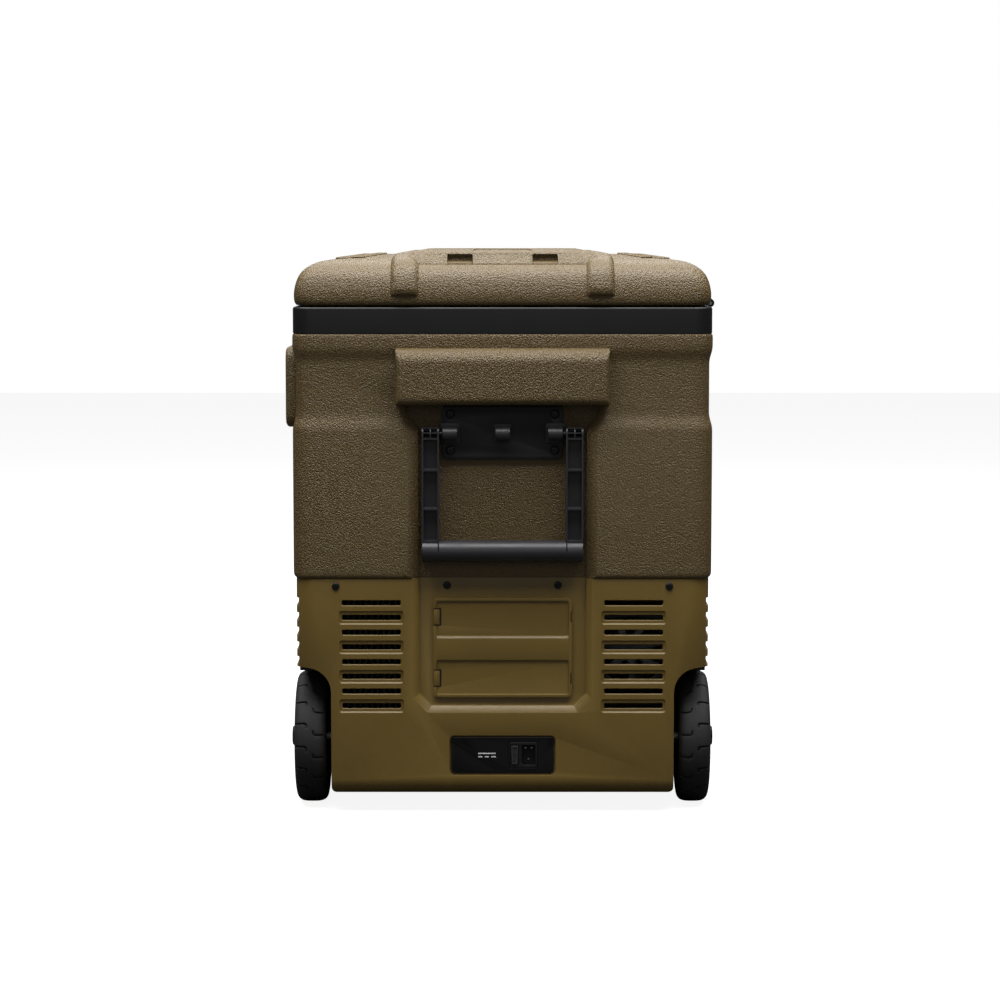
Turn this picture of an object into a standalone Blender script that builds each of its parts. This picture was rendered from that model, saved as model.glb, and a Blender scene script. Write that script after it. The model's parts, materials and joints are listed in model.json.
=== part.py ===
"""Wheeled compressor cooler fridge, about 55 litres: the working design.

Metres, +Z up.  The wheel end faces -Y, the control side faces -X and the lid
hinges lie on the +X side.  The origin is on the ground, midway between the
outermost points along X and Y.  Run with: blender --background --python part.py
"""
import math

import bmesh
import bpy
from mathutils import Matrix, Vector

# ---------------------------------------------------------------- overall sizes
BODY_LENGTH = 0.680
BODY_WIDTH = 0.400
CLEARANCE_Z = 0.021          # underside of the case above the ground
LOWER_HEIGHT = 0.2064        # lower case, up to the seam
UPPER_HEIGHT = 0.2326        # upper case, from the seam to the rim frame
RIM_HEIGHT = 0.0247          # black thermal-break frame
LID_GAP = 0.0018
LID_HEIGHT = 0.0447          # from the lid's lower edge to its main top surface
WALL = 0.003
FIT = 0.0003                 # gap between pieces that rest on each other
RUN = 0.0003                 # radial clearance of a turning or sliding piece
PLAN_RADIUS = 0.018          # vertical corners of the case
LOWER_INSET = 0.0025
THROUGH = 0.010              # how far a cutter runs past what it cuts
ARC = 5                      # segments in a quarter round

# ---------------------------------------------------------------- belt and grip
BELT_DEPTH = 0.0032
BELT_DROP = 0.015            # rim edge down to the start of the belt
BELT_SLOPE = 0.0102
BELT_BAND = 0.0535
GRIP_WIDTH = 0.202
GRIP_HEIGHT = 0.0535
GRIP_PROUD = 0.0155
GRIP_DROP = 0.0135           # rim edge down to the grip block
GRIP_ROUND = 0.010

# ---------------------------------------------------------------- niches
NICHE_DEPTH = 0.012
NICHE_HALF = 0.080
NICHE_SLOPE = 0.0085
NICHE_FRONT_FOOT = 0.093
NICHE_REAR_FOOT = 0.043
NICHE_CORNER = 0.012
NICHE_FLARE = 0.0125         # how much wider the niche is under the belt

# ---------------------------------------------------------------- wheels
WHEEL_RADIUS = 0.064
TYRE_WIDTH = 0.0304
TYRE_INSIDE = 0.044
AXLE_SETBACK = 0.070
AXLE_RADIUS = 0.006
ARCH_GAP = 0.013
ARCH_INSIDE = 0.164
ARCH_ROUND = 0.024
HUB_WIDTH = 0.026
CAP_RADIUS = 0.016
CAP_PROUD = 0.0034

# ---------------------------------------------------------------- vents
VENT_ROWS = 8
VENT_PITCH = 0.01418
VENT_TOP = 0.2035
VENT_HEIGHT = 0.0049
VENT_NEAR = 0.0972
VENT_LENGTH = 0.056
POCKET_LENGTH = 0.0615
POCKET_HEIGHT = 0.0126
POCKET_DEPTH = 0.0014
SIDE_VENT_ROWS = 5
SIDE_VENT_LENGTH = 0.110

# ---------------------------------------------------------------- battery door
DOOR_WIDTH = 0.1327
DOOR_HEIGHT = 0.0957
DOOR_FOOT = 0.1117
DOOR_PLATE = 0.003
DOOR_RADIUS = 0.005
DOOR_LIP = 0.0065            # rim of the opening covered by the door
DOOR_TRAY = 0.0022
CLIP_WIDTH = 0.0063
CLIP_HEIGHT = 0.0146
CLIP_LEVELS = (0.1299, 0.1891)
CLIP_TRAVEL = 0.0015

# ---------------------------------------------------------------- inlet panel
PANEL_WIDTH = 0.0979
PANEL_HEIGHT = 0.0348
PANEL_MIDDLE = 0.05645
PANEL_THICK = 0.0024
PANEL_RECESS = 0.0040
PANEL_MARGIN = 0.0018
SOCKET_LEFT = 0.0065
SOCKET_WIDTH = 0.0266
SOCKET_HEIGHT = 0.0255
SOCKET_DEPTH = 0.020
PORT_WIDTH = 0.0130
PORT_HEIGHT = 0.0190
PORT_DEPTH = 0.0115
PORT_RIM = 0.0016
CONTACT_LENGTH = 0.0055
CONTACT_RADIUS = 0.0014
FUSE_WIDTH = 0.0072
FUSE_HEIGHT = 0.0190

# ---------------------------------------------------------------- bail handle
PLATE_WIDTH = 0.1147
PLATE_HEIGHT = 0.0503
PLATE_TOP = 0.3910
PLATE_THICK = 0.0040
PLATE_RADIUS = 0.005
PIN_HEIGHT = 0.3655
PIN_STANDOFF = 0.0075        # hinge axis in front of the plate
PIN_RADIUS = 0.0025
KNUCKLE_RADIUS = 0.0065
KNUCKLE_WIDTH = 0.014
KNUCKLE_PLACES = (-0.050, 0.0, 0.050)
BAIL_INNER = 0.0602
BAIL_ARM = 0.0163
BAIL_THICK = 0.0130
BAIL_DROP = 0.1225           # hinge axis down to the grip's lowest point
BAIL_GRIP = 0.0210
BAIL_RIB_WALL = 0.0016
BAIL_POCKETS = ((0.0100, 0.0315), (0.0350, 0.0680), (0.0715, 0.0985))

# ---------------------------------------------------------------- pull handle
TUBE_RADIUS = 0.0065
TUBE_WALL = 0.0015
ROD_SPACING = 0.120
TUBE_FOOT = 0.052
TUBE_TOP = 0.345
ROD_EXPOSED = 0.064
PULL_GRIP_LENGTH = 0.152
PULL_GRIP_HEIGHT = 0.026
PULL_GRIP_DEPTH = 0.0145
PULL_BUTTON_LENGTH = 0.030
PULL_BUTTON_WIDTH = 0.008
PULL_BUTTON_PROUD = 0.0025
BRACKET_HEIGHT = 0.020
BRACKET_LEVELS = (0.110, 0.315)
BRACKET_WIDTH = 0.150
BRACKET_COVER = 0.0012       # bracket material outside a tube

# ---------------------------------------------------------------- tub and foam
LINER_WALL = 0.002
LINER_SIDE_INSET = 0.043     # case side to the liner's outside
LINER_END_INSET = 0.043
LINER_RADIUS = 0.025
STEP_FROM_END = 0.290        # wheel end to the step over the machine bay
STEP_FLOOR = 0.258
TUB_FLOOR = 0.073
FOAM_GAP = 0.0014
FOAM_FLOOR = 0.2300
BAY_LENGTH = 0.258           # wheel end to the foam behind the machine bay

# ---------------------------------------------------------------- lid
LID_INSET = 0.0015
LID_WALL = 0.0032
LID_PROFILE = ((0.0000, 0.0025), (0.0035, 0.0002), (0.0113, 0.0000), (0.0198, 0.0015),
               (0.0282, 0.0047), (0.0349, 0.0106), (0.0407, 0.0216), (0.0432, 0.0358),
               (0.0447, 0.0700))
RIB_CENTRE = 0.0927
RIB_WIDTH = 0.0240
RIB_PROUD = 0.0045
RIB_SINK = 0.0013            # how far a rib's lower end drops inside the skin
RIB_START = 0.0131           # lid's lower edge up to the ribs' lower ends
PLATEAU_HALF = 0.085
PLATEAU_FOOT_HALF = 0.100
PLATEAU_PROUD = 0.0062
PLATEAU_INSET = 0.040
PLATEAU_SLOPE = 0.012
PLATEAU_ROOT = 0.007
LID_POCKET_NEAR = 0.0285
LID_POCKET_WIDTH = 0.0245
LID_POCKET_LENGTH = 0.009
LID_POCKET_DEPTH = 0.004
LINER_PLATE = 0.0020
GASKET_WIDTH = 0.012
GASKET_THICK = 0.0012

# ---------------------------------------------------------------- lid hinges, latch
HINGE_PLACES = (-0.200, 0.200)
HINGE_OUT = 0.0045
HINGE_RADIUS = 0.0042
HINGE_PIN_RADIUS = 0.0018
HINGE_PLATE = 0.0015
HINGE_PLATE_HEIGHT = 0.018
HINGE_LENGTH = 0.046
HINGE_MIDDLE = 0.020
LATCH_LENGTH = 0.096
LATCH_THICK = 0.0068
LATCH_HEIGHT = 0.046
LATCH_PIVOT = 0.0132         # lid's lower edge up to the latch pivot
LATCH_KNUCKLE = 0.0034
LATCH_PIN_RADIUS = 0.0015
LATCH_EAR = 0.008
LATCH_CUT = 0.0075           # pocket in the lid for the latch knuckle

# ---------------------------------------------------------------- control pod
POD_REACH = 0.0075
POD_START = 0.028            # from the wheel end
POD_LENGTH = 0.200
POD_HEIGHT = 0.077
POD_MIDDLE = 0.4080
POD_BED = 0.0006
POD_CHAMFER = 0.003
SCREEN_LENGTH = 0.072
SCREEN_HEIGHT = 0.034
SCREEN_THICK = 0.0016
KEY_RADIUS = 0.0075
KEY_PITCH = 0.024
KEY_PROUD = 0.0012
KEY_DEPTH = 0.0045
KEY_NAMES = ("key_power", "key_up", "key_down")

# ---------------------------------------------------------------- machine bay
BASE_PLATE = 0.0015
BASE_PLATE_HALF = 0.155
COMPRESSOR_RADIUS = 0.050
COMPRESSOR_HEIGHT = 0.135
COMPRESSOR_SETBACK = 0.190
COMPRESSOR_OFFSET = -0.045
BATTERY_WIDTH = 0.112
BATTERY_HEIGHT = 0.080
BATTERY_DEPTH = 0.112
FAN_SIZE = 0.070
FAN_DEPTH = 0.020
FAN_MIDDLE = 0.157
FAN_X = 0.1235
FAN_HOLE = 0.0325
FAN_BLADES = 7
FINS = 11
FIN_BLOCK_WIDTH = 0.058
FIN_BLOCK_HEIGHT = 0.115
FIN_BLOCK_DEPTH = 0.026
FIN_THICK = 0.0016
FIN_FOOT = 0.092
BOARD_WIDTH = 0.095
BOARD_HEIGHT = 0.070
BOARD_THICK = 0.0016
FOOT_RADIUS = 0.020
FOOT_SETBACK = 0.065
FOOT_SPREAD = 0.140

# ---------------------------------------------------------------- basket, lamp
BASKET_GAP = 0.005
BASKET_HEIGHT = 0.135
BASKET_WALL = 0.0022
BASKET_SLOTS = 6
LAMP_LENGTH = 0.044
LAMP_HEIGHT = 0.012
LAMP_DEPTH = 0.007
LAMP_DROP = 0.030

# ---------------------------------------------------------------- worked-out places
SEAM_Z = CLEARANCE_Z + LOWER_HEIGHT
RIM_Z = SEAM_Z + UPPER_HEIGHT
RIM_TOP = RIM_Z + FIT + RIM_HEIGHT
LID_Z = RIM_TOP + LID_GAP
LID_TOP = LID_Z + LID_HEIGHT
SIDE = BODY_WIDTH / 2
END = BODY_LENGTH / 2
LOW_SIDE = SIDE - LOWER_INSET
LOW_END = END - LOWER_INSET
NICHE_Y = END - NICHE_DEPTH
BELT_TOP = RIM_Z - BELT_DROP
GRIP_TOP = RIM_Z - GRIP_DROP
GRIP_FOOT = GRIP_TOP - GRIP_HEIGHT
AXLE_Y = -END + AXLE_SETBACK
ARCH_RADIUS = WHEEL_RADIUS + ARCH_GAP
PIN_Y = -NICHE_Y - FIT - PLATE_THICK - PIN_STANDOFF
HINGE_X = SIDE + HINGE_OUT
HINGE_Z = LID_Z - HINGE_OUT * 0.1
FINISHES = {
    "khaki_grain": ((0.105, 0.072, 0.030), 0.55, 0.0),
    "khaki_satin": ((0.115, 0.082, 0.032), 0.45, 0.0),
    "black_satin": ((0.010, 0.010, 0.011), 0.45, 0.0),
    "black_gloss": ((0.006, 0.006, 0.007), 0.12, 0.0),
    "tyre_rubber": ((0.012, 0.012, 0.012), 0.85, 0.0),
    "seal_rubber": ((0.020, 0.020, 0.021), 0.80, 0.0),
    "steel": ((0.450, 0.450, 0.460), 0.35, 0.9),
    "aluminium": ((0.600, 0.600, 0.610), 0.30, 0.9),
    "black_paint": ((0.015, 0.015, 0.016), 0.40, 0.3),
    "liner_white": ((0.620, 0.620, 0.600), 0.40, 0.0),
    "foam": ((0.700, 0.640, 0.420), 0.90, 0.0),
    "board_green": ((0.020, 0.120, 0.050), 0.50, 0.0),
    "battery_grey": ((0.060, 0.062, 0.066), 0.50, 0.0),
    "lamp_lens": ((0.800, 0.820, 0.850), 0.20, 0.0),
    "key_grey": ((0.055, 0.056, 0.060), 0.55, 0.0),
    "fan_black": ((0.020, 0.020, 0.022), 0.50, 0.0),
}


# ================================================================ tools
def clear_scene():
    """Remove what the start-up file holds."""
    for thing in list(bpy.data.objects):
        bpy.data.objects.remove(thing, do_unlink=True)


def finish(name):
    """Material for one of the named finishes, made once."""
    found = bpy.data.materials.get(name)
    if found:
        return found
    colour, roughness, metallic = FINISHES[name]
    material = bpy.data.materials.new(name)
    material.use_nodes = True
    shader = material.node_tree.nodes["Principled BSDF"]
    shader.inputs["Base Color"].default_value = (*colour, 1.0)
    shader.inputs["Roughness"].default_value = roughness
    shader.inputs["Metallic"].default_value = metallic
    return material


def from_bmesh(name, shape, look):
    """Turn a bmesh into a linked object with outward faces."""
    bmesh.ops.recalc_face_normals(shape, faces=shape.faces[:])
    mesh = bpy.data.meshes.new(name)
    shape.to_mesh(mesh)
    shape.free()
    mesh.shade_smooth()
    mesh.set_sharp_from_angle(angle=math.radians(28))
    thing = bpy.data.objects.new(name, mesh)
    bpy.context.scene.collection.objects.link(thing)
    if look:
        mesh.materials.append(finish(look))
    else:
        thing.hide_render = True
        thing.display_type = "WIRE"
    return thing


def loft(name, rings, look=None):
    """Closed solid skinned through rings that have equal numbers of points."""
    shape = bmesh.new()
    loops = [[shape.verts.new(point) for point in ring] for ring in rings]
    count = len(loops[0])
    for low, high in zip(loops, loops[1:]):
        for i in range(count):
            j = (i + 1) % count
            shape.faces.new((low[i], low[j], high[j], high[i]))
    shape.faces.new(loops[0])
    shape.faces.new(loops[-1])
    return from_bmesh(name, shape, look)


def box(name, low, high, look=None):
    """Rectangular block between two corners."""
    xs, ys, zs = zip(low, high)
    rings = [[(xs[0], ys[0], z), (xs[1], ys[0], z), (xs[1], ys[1], z), (xs[0], ys[1], z)]
             for z in zs]
    return loft(name, rings, look)


def boxes(name, corners):
    """Cutter made of several separate blocks."""
    shape = bmesh.new()
    for low, high in corners:
        size = [b - a for a, b in zip(low, high)]
        middle = [(a + b) / 2 for a, b in zip(low, high)]
        place = Matrix.Translation(middle) @ Matrix.Diagonal((*size, 1.0))
        bmesh.ops.create_cube(shape, size=1.0, matrix=place)
    return from_bmesh(name, shape, None)


def round_outline(low, high, radius, steps=ARC):
    """Rectangle with rounded corners as a list of (u, v) points."""
    points = []
    corners = ((high[0], high[1], 0), (low[0], high[1], 90),
               (low[0], low[1], 180), (high[0], low[1], 270))
    for u, v, start in corners:
        centre_u = u - math.copysign(radius, u - (low[0] + high[0]) / 2)
        centre_v = v - math.copysign(radius, v - (low[1] + high[1]) / 2)
        for step in range(steps + 1):
            turn = math.radians(start + 90 * step / steps)
            points.append((centre_u + radius * math.cos(turn),
                           centre_v + radius * math.sin(turn)))
    return points


def plan_ring(half_x, half_y, radius, z):
    """Rounded rectangle about the middle of the case at height z."""
    outline = round_outline((-half_x, -half_y), (half_x, half_y), radius)
    return [(x, y, z) for x, y in outline]


def along(outline, axis, place):
    """Put (u, v) points on a plane across the given axis."""
    if axis == "x":
        return [(place, u, v) for u, v in outline]
    if axis == "y":
        return [(u, place, v) for u, v in outline]
    return [(u, v, place) for u, v in outline]


def prism(name, outline, axis, start, stop, look=None):
    """Outline extruded from start to stop along an axis."""
    return loft(name, [along(outline, axis, start), along(outline, axis, stop)], look)


def circle(radius, u=0.0, v=0.0, segments=20):
    """Round outline about (u, v)."""
    return [(u + radius * math.cos(math.tau * i / segments),
             v + radius * math.sin(math.tau * i / segments)) for i in range(segments)]


def turned(name, profile, axis, centre, look=None, segments=32):
    """Turn a closed (radius, height) profile about an axis through centre."""
    shape = bmesh.new()
    rows = []
    for radius, height in profile:
        if radius == 0.0:
            rows.append([shape.verts.new((0.0, 0.0, height))])
            continue
        rows.append([shape.verts.new((u, v, height))
                     for u, v in circle(radius, segments=segments)])
    for low, high in zip(rows, rows[1:] + rows[:1]):
        if len(low) == 1 and len(high) == 1:
            continue
        for i in range(segments):
            j = (i + 1) % segments
            corners = [low[i % len(low)], low[j % len(low)],
                       high[j % len(high)], high[i % len(high)]]
            shape.faces.new(list(dict.fromkeys(corners)))
    turn = {"x": Matrix.Rotation(math.pi / 2, 4, "Y"),
            "y": Matrix.Rotation(-math.pi / 2, 4, "X"),
            "z": Matrix.Identity(4)}[axis]
    bmesh.ops.transform(shape, verts=shape.verts[:], matrix=Matrix.Translation(centre) @ turn)
    return from_bmesh(name, shape, look)


def combine(target, tool, operation):
    """Live Boolean of a hidden tool on a target."""
    step = target.modifiers.new(tool.name, "BOOLEAN")
    step.operation = operation
    step.solver = "EXACT"
    step.object = tool
    tool.hide_render = True
    tool.display_type = "WIRE"


def cut(target, *tools):
    """Cut each tool out of the target."""
    for tool in tools:
        combine(target, tool, "DIFFERENCE")


def weld(target, *tools):
    """Join each tool to the target."""
    for tool in tools:
        combine(target, tool, "UNION")


def bevelled(thing, width, segments=2):
    """Round a piece's sharp edges."""
    step = thing.modifiers.new("edge", "BEVEL")
    step.width = width
    step.segments = segments
    step.limit_method = "ANGLE"
    step.angle_limit = math.radians(40)
    return thing


def offset_line(points, distance):
    """Move an open line of (u, v) points sideways, to the left of its direction."""
    moved = []
    for i, point in enumerate(points):
        before = Vector(points[max(i - 1, 0)])
        after = Vector(points[min(i + 1, len(points) - 1)])
        run = (after - before).normalized()
        moved.append((point[0] - run.y * distance, point[1] + run.x * distance))
    return moved


# ================================================================ case
def niche(name, end, foot, grow=0.0):
    """Recess of one end wall: end is -1 at the wheels and 1 at the pull handle."""
    top = (GRIP_FOOT + 0.002 if end < 0 else BELT_TOP - BELT_SLOPE) + grow
    flare_top = BELT_TOP - 2 * BELT_SLOPE - BELT_BAND + 0.010
    rings = []
    for out, spread in ((0.022, 1.0), (0.0, 1.0), (-NICHE_DEPTH - grow, 0.0)):
        half = NICHE_HALF + NICHE_SLOPE * spread + grow
        low = foot + 0.011 * (1 - spread) - grow
        corner = NICHE_CORNER
        shoulder = flare_top + 0.0035 * (1 - spread)
        outline = [(-half, low + corner), (-half + corner, low), (half - corner, low),
                   (half, low + corner), (half, shoulder - 0.015),
                   (half + NICHE_FLARE, shoulder), (half + NICHE_FLARE, top),
                   (-half - NICHE_FLARE, top), (-half - NICHE_FLARE, shoulder),
                   (-half, shoulder - 0.015)]
        rings.append(along(outline, "y", end * (END + out)))
    return loft(name, rings)


def cavity(name, half_x, half_y, low, high):
    """Inside of a case shell, clear of both niches."""
    room = loft(name, [plan_ring(half_x, half_y, PLAN_RADIUS - WALL, z) for z in (low, high)])
    cut(room, niche(name + "_front_bump", -1, NICHE_FRONT_FOOT, WALL),
        niche(name + "_rear_bump", 1, NICHE_REAR_FOOT, WALL))
    return room


def pod_outline(grow=0.0):
    """Control pod's outline on the side wall, as (y, z) points."""
    start = -END + POD_START - grow
    stop = -END + POD_START + POD_LENGTH + grow
    half = POD_HEIGHT / 2 + grow
    return round_outline((start, POD_MIDDLE - half), (stop, POD_MIDDLE + half), 0.012 + grow)


def make_upper_shell():
    """Grained upper case with its belt, grip block and niches."""
    levels = [(SEAM_Z, 0.0018), (SEAM_Z + 0.0018, 0.0)]
    drop = BELT_TOP
    levels += [(drop - 2 * BELT_SLOPE - BELT_BAND, 0.0), (drop - BELT_SLOPE - BELT_BAND, BELT_DEPTH),
               (drop - BELT_SLOPE, BELT_DEPTH), (drop, 0.0), (RIM_Z - 0.001, 0.0), (RIM_Z, 0.001)]
    rings = [plan_ring(SIDE - inset, END - inset, PLAN_RADIUS - inset, z) for z, inset in levels]
    shell = loft("upper_shell", rings, "khaki_grain")
    cut(shell, niche("upper_front_niche", -1, NICHE_FRONT_FOOT),
        niche("upper_rear_niche", 1, NICHE_REAR_FOOT))
    weld(shell, grip_block())
    pod_bed = prism("pod_bed", pod_outline(FIT), "x", -SIDE - THROUGH,
                    -SIDE + BELT_DEPTH + POD_BED)
    cut(shell, pod_bed)
    inset = WALL + BELT_DEPTH
    cut(shell, cavity("upper_room", SIDE - inset, END - inset, SEAM_Z - THROUGH, RIM_Z + THROUGH))
    return shell


def grip_block():
    """Moulded lifting block over the wheel-end niche."""
    back = -END + BELT_DEPTH + WALL * 0.5
    face = -END - GRIP_PROUD
    profile = [(back, GRIP_FOOT), (face + 0.003, GRIP_FOOT), (face, GRIP_FOOT + 0.003)]
    for step in range(ARC + 1):
        turn = math.radians(90 * step / ARC)
        profile.append((face + GRIP_ROUND * (1 - math.cos(turn)),
                        GRIP_TOP - GRIP_ROUND * (1 - math.sin(turn))))
    profile.append((back, GRIP_TOP))
    half = GRIP_WIDTH / 2
    round_x = 0.006
    rings = []
    for x, pull in ((-half, round_x), (-half + round_x * 0.4, round_x * 0.3), (-half + round_x, 0.0),
                    (half - round_x, 0.0), (half - round_x * 0.4, round_x * 0.3), (half, round_x)):
        rings.append([(x, max(y, face + pull), z) for y, z in profile])
    return loft("grip_block", rings)


def arch(name, side, grow=0.0):
    """Wheel arch open to the wheel end, with a rounded inner top edge."""
    rings = []
    for step in range(ARC + 1):
        turn = math.radians(90 * step / ARC)
        radius = ARCH_RADIUS + grow - ARCH_ROUND * (1 - math.sin(turn))
        x = ARCH_INSIDE - grow + ARCH_ROUND * (1 - math.cos(turn))
        rings.append(arch_ring(side * x, radius))
    rings.append(arch_ring(side * (SIDE + THROUGH), ARCH_RADIUS + grow))
    return loft(name, rings)


def arch_ring(x, radius):
    """One section of the wheel arch at x."""
    outline = [(-END - THROUGH, CLEARANCE_Z - THROUGH), (-END - THROUGH, WHEEL_RADIUS + radius)]
    for step in range(2 * ARC + 1):
        turn = math.radians(90 - 90 * step / (2 * ARC))
        outline.append((AXLE_Y + radius * math.cos(turn), WHEEL_RADIUS + radius * math.sin(turn)))
    outline.append((AXLE_Y + radius, CLEARANCE_Z - THROUGH))
    return along(outline, "x", x)


def end_vents():
    """Slots and shallow pockets of the two vent panels at the wheel end."""
    slots = []
    pockets = []
    for row in range(VENT_ROWS):
        z = VENT_TOP - row * VENT_PITCH
        for side in (-1, 1):
            middle = side * (VENT_NEAR + VENT_LENGTH / 2)
            half = VENT_LENGTH / 2
            slots.append(((middle - half, -END - THROUGH, z - VENT_HEIGHT / 2),
                          (middle + half, -LOW_END + WALL * 2, z + VENT_HEIGHT / 2)))
            if row % 2:
                half = POCKET_LENGTH / 2
                pockets.append(((middle - half, -END - THROUGH, z - POCKET_HEIGHT / 2),
                                (middle + half, -LOW_END + POCKET_DEPTH, z + POCKET_HEIGHT / 2)))
    return boxes("vent_pockets", pockets), boxes("vent_slots", slots)


def side_vents():
    """Slots through both side walls above the wheel arches."""
    slots = []
    for row in range(SIDE_VENT_ROWS):
        z = VENT_TOP - row * VENT_PITCH
        for side in (-1, 1):
            xs = sorted((side * (LOW_SIDE - 2 * WALL), side * (SIDE + THROUGH)))
            start = AXLE_Y - SIDE_VENT_LENGTH * 0.45
            slots.append(((xs[0], start, z - VENT_HEIGHT / 2),
                          (xs[1], start + SIDE_VENT_LENGTH, z + VENT_HEIGHT / 2)))
    return boxes("side_vent_slots", slots)


def panel_recess(name, grow=0.0):
    """Recess for the inlet panel in the wheel-end wall."""
    half_x = PANEL_WIDTH / 2 + PANEL_MARGIN + grow
    half_z = PANEL_HEIGHT / 2 + PANEL_MARGIN + grow
    outline = round_outline((-half_x, PANEL_MIDDLE - half_z), (half_x, PANEL_MIDDLE + half_z),
                            0.004 + grow, 3)
    return prism(name, outline, "y", -END - THROUGH, -LOW_END + PANEL_RECESS + grow)


def socket_hole(name, start, stop):
    """Opening that the inlet socket passes through."""
    low = (SOCKET_LEFT - FIT, start, PANEL_MIDDLE - SOCKET_HEIGHT / 2 - FIT)
    high = (SOCKET_LEFT + SOCKET_WIDTH + FIT, stop, PANEL_MIDDLE + SOCKET_HEIGHT / 2 + FIT)
    return box(name, low, high)


def make_lower_shell():
    """Smooth lower case: wheel arches, vents, battery opening and inlet recess."""
    levels = ((CLEARANCE_Z, 0.005), (CLEARANCE_Z + 0.0015, 0.0018), (CLEARANCE_Z + 0.005, 0.0),
              (SEAM_Z - FIT, 0.0))
    rings = [plan_ring(LOW_SIDE - inset, LOW_END - inset, PLAN_RADIUS - inset, z)
             for z, inset in levels]
    shell = loft("lower_shell", rings, "khaki_satin")
    cut(shell, niche("lower_front_niche", -1, NICHE_FRONT_FOOT),
        niche("lower_rear_niche", 1, NICHE_REAR_FOOT),
        arch("arch_left", -1), arch("arch_right", 1), panel_recess("inlet_recess"))
    room = cavity("lower_room", LOW_SIDE - WALL, LOW_END - WALL, CLEARANCE_Z + WALL,
                  SEAM_Z + THROUGH)
    cut(room, arch("arch_left_wall", -1, WALL), arch("arch_right_wall", 1, WALL),
        panel_recess("inlet_recess_wall", WALL))
    cut(shell, room)
    pockets, slots = end_vents()
    half = DOOR_WIDTH / 2 - DOOR_LIP
    opening = box("battery_opening", (-half, -END - THROUGH, DOOR_FOOT + DOOR_LIP),
                  (half, -NICHE_Y + 2 * WALL, DOOR_FOOT + DOOR_HEIGHT - DOOR_LIP))
    axle_hole = prism("axle_hole", circle(AXLE_RADIUS + RUN, AXLE_Y, WHEEL_RADIUS), "x",
                      -SIDE, SIDE)
    cut(shell, pockets, slots, side_vents(), opening, axle_hole,
        socket_hole("inlet_hole", -END - THROUGH, -LOW_END + PANEL_RECESS + 2 * WALL))
    return shell


def make_rim_frame():
    """Black frame that joins case and tub at the top."""
    inset = 0.00065
    half_x, half_y = SIDE - inset, END - inset
    levels = ((RIM_Z + FIT, 0.0), (RIM_TOP - 0.001, 0.0), (RIM_TOP, 0.001))
    frame = loft("rim_frame", [plan_ring(half_x - i, half_y - i, PLAN_RADIUS - i, z)
                               for z, i in levels], "black_satin")
    inside = loft("rim_opening", [plan_ring(SIDE - LINER_SIDE_INSET + FIT,
                                            END - LINER_END_INSET + FIT, LINER_RADIUS + FIT, z)
                                  for z in (RIM_Z - THROUGH, RIM_TOP + THROUGH)])
    cut(frame, inside)
    return frame


def tub_solid(name, wall, top, look=None):
    """Stepped tub shape; wall moves every side inwards."""
    half_x = SIDE - LINER_SIDE_INSET - wall
    half_y = END - LINER_END_INSET - wall
    radius = LINER_RADIUS - wall
    step_y = -END + STEP_FROM_END
    solid = loft(name, [plan_ring(half_x, half_y, radius, z)
                        for z in (TUB_FLOOR + wall, top)], look)
    cut(solid, box(name + "_step", (-SIDE, -END, 0.0), (SIDE, step_y + wall, STEP_FLOOR + wall)))
    return solid


def make_inner_liner():
    """Moulded tub with a deep well and a shallow end over the machine bay."""
    liner = tub_solid("inner_liner", 0.0, RIM_TOP - FIT, "liner_white")
    cut(liner, tub_solid("liner_room", LINER_WALL, RIM_TOP + THROUGH))
    return liner


def make_foam_core():
    """Foamed insulation between the liner and the case."""
    gap = WALL + BELT_DEPTH + FOAM_GAP
    back = END - NICHE_DEPTH - WALL - FOAM_GAP
    front = -back
    bay = -END + BAY_LENGTH
    low = CLEARANCE_Z + WALL + FOAM_GAP
    outline = [(front, FOAM_FLOOR), (bay, FOAM_FLOOR), (bay, low), (back, low),
               (back, RIM_Z - FIT), (front, RIM_Z - FIT)]
    core = prism("foam_core", outline, "x", -SIDE + gap, SIDE - gap, "foam")
    cut(core, tub_solid("foam_room", -FIT, RIM_Z + THROUGH))
    return core


# ================================================================ machine bay
def make_base_plate():
    """Steel pan that carries the compressor."""
    low = CLEARANCE_Z + WALL + FIT
    outline = round_outline((-BASE_PLATE_HALF, -LOW_END + 0.012),
                            (BASE_PLATE_HALF, -END + BAY_LENGTH - 0.004), 0.006, 2)
    return prism("base_plate", outline, "z", low, low + BASE_PLATE, "steel")


def make_compressor():
    """Domed compressor can on a flanged foot."""
    base = CLEARANCE_Z + WALL + FIT + BASE_PLATE + FIT
    radius = COMPRESSOR_RADIUS
    top = COMPRESSOR_HEIGHT
    profile = [(0.0, 0.0), (radius + 0.004, 0.0), (radius + 0.004, 0.004), (radius - 0.006, 0.008),
               (radius, 0.020), (radius, 0.060), (radius + 0.0025, 0.062),
               (radius + 0.0025, 0.068), (radius, 0.070), (radius, top - 0.030)]
    for step in range(1, ARC):
        turn = math.radians(90 * step / ARC)
        profile.append((radius * math.cos(turn), top - 0.030 + 0.030 * math.sin(turn)))
    profile.append((0.0, top))
    return turned("compressor", profile, "z",
                  (COMPRESSOR_OFFSET, -END + COMPRESSOR_SETBACK, base), "black_paint", 28)


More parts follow.
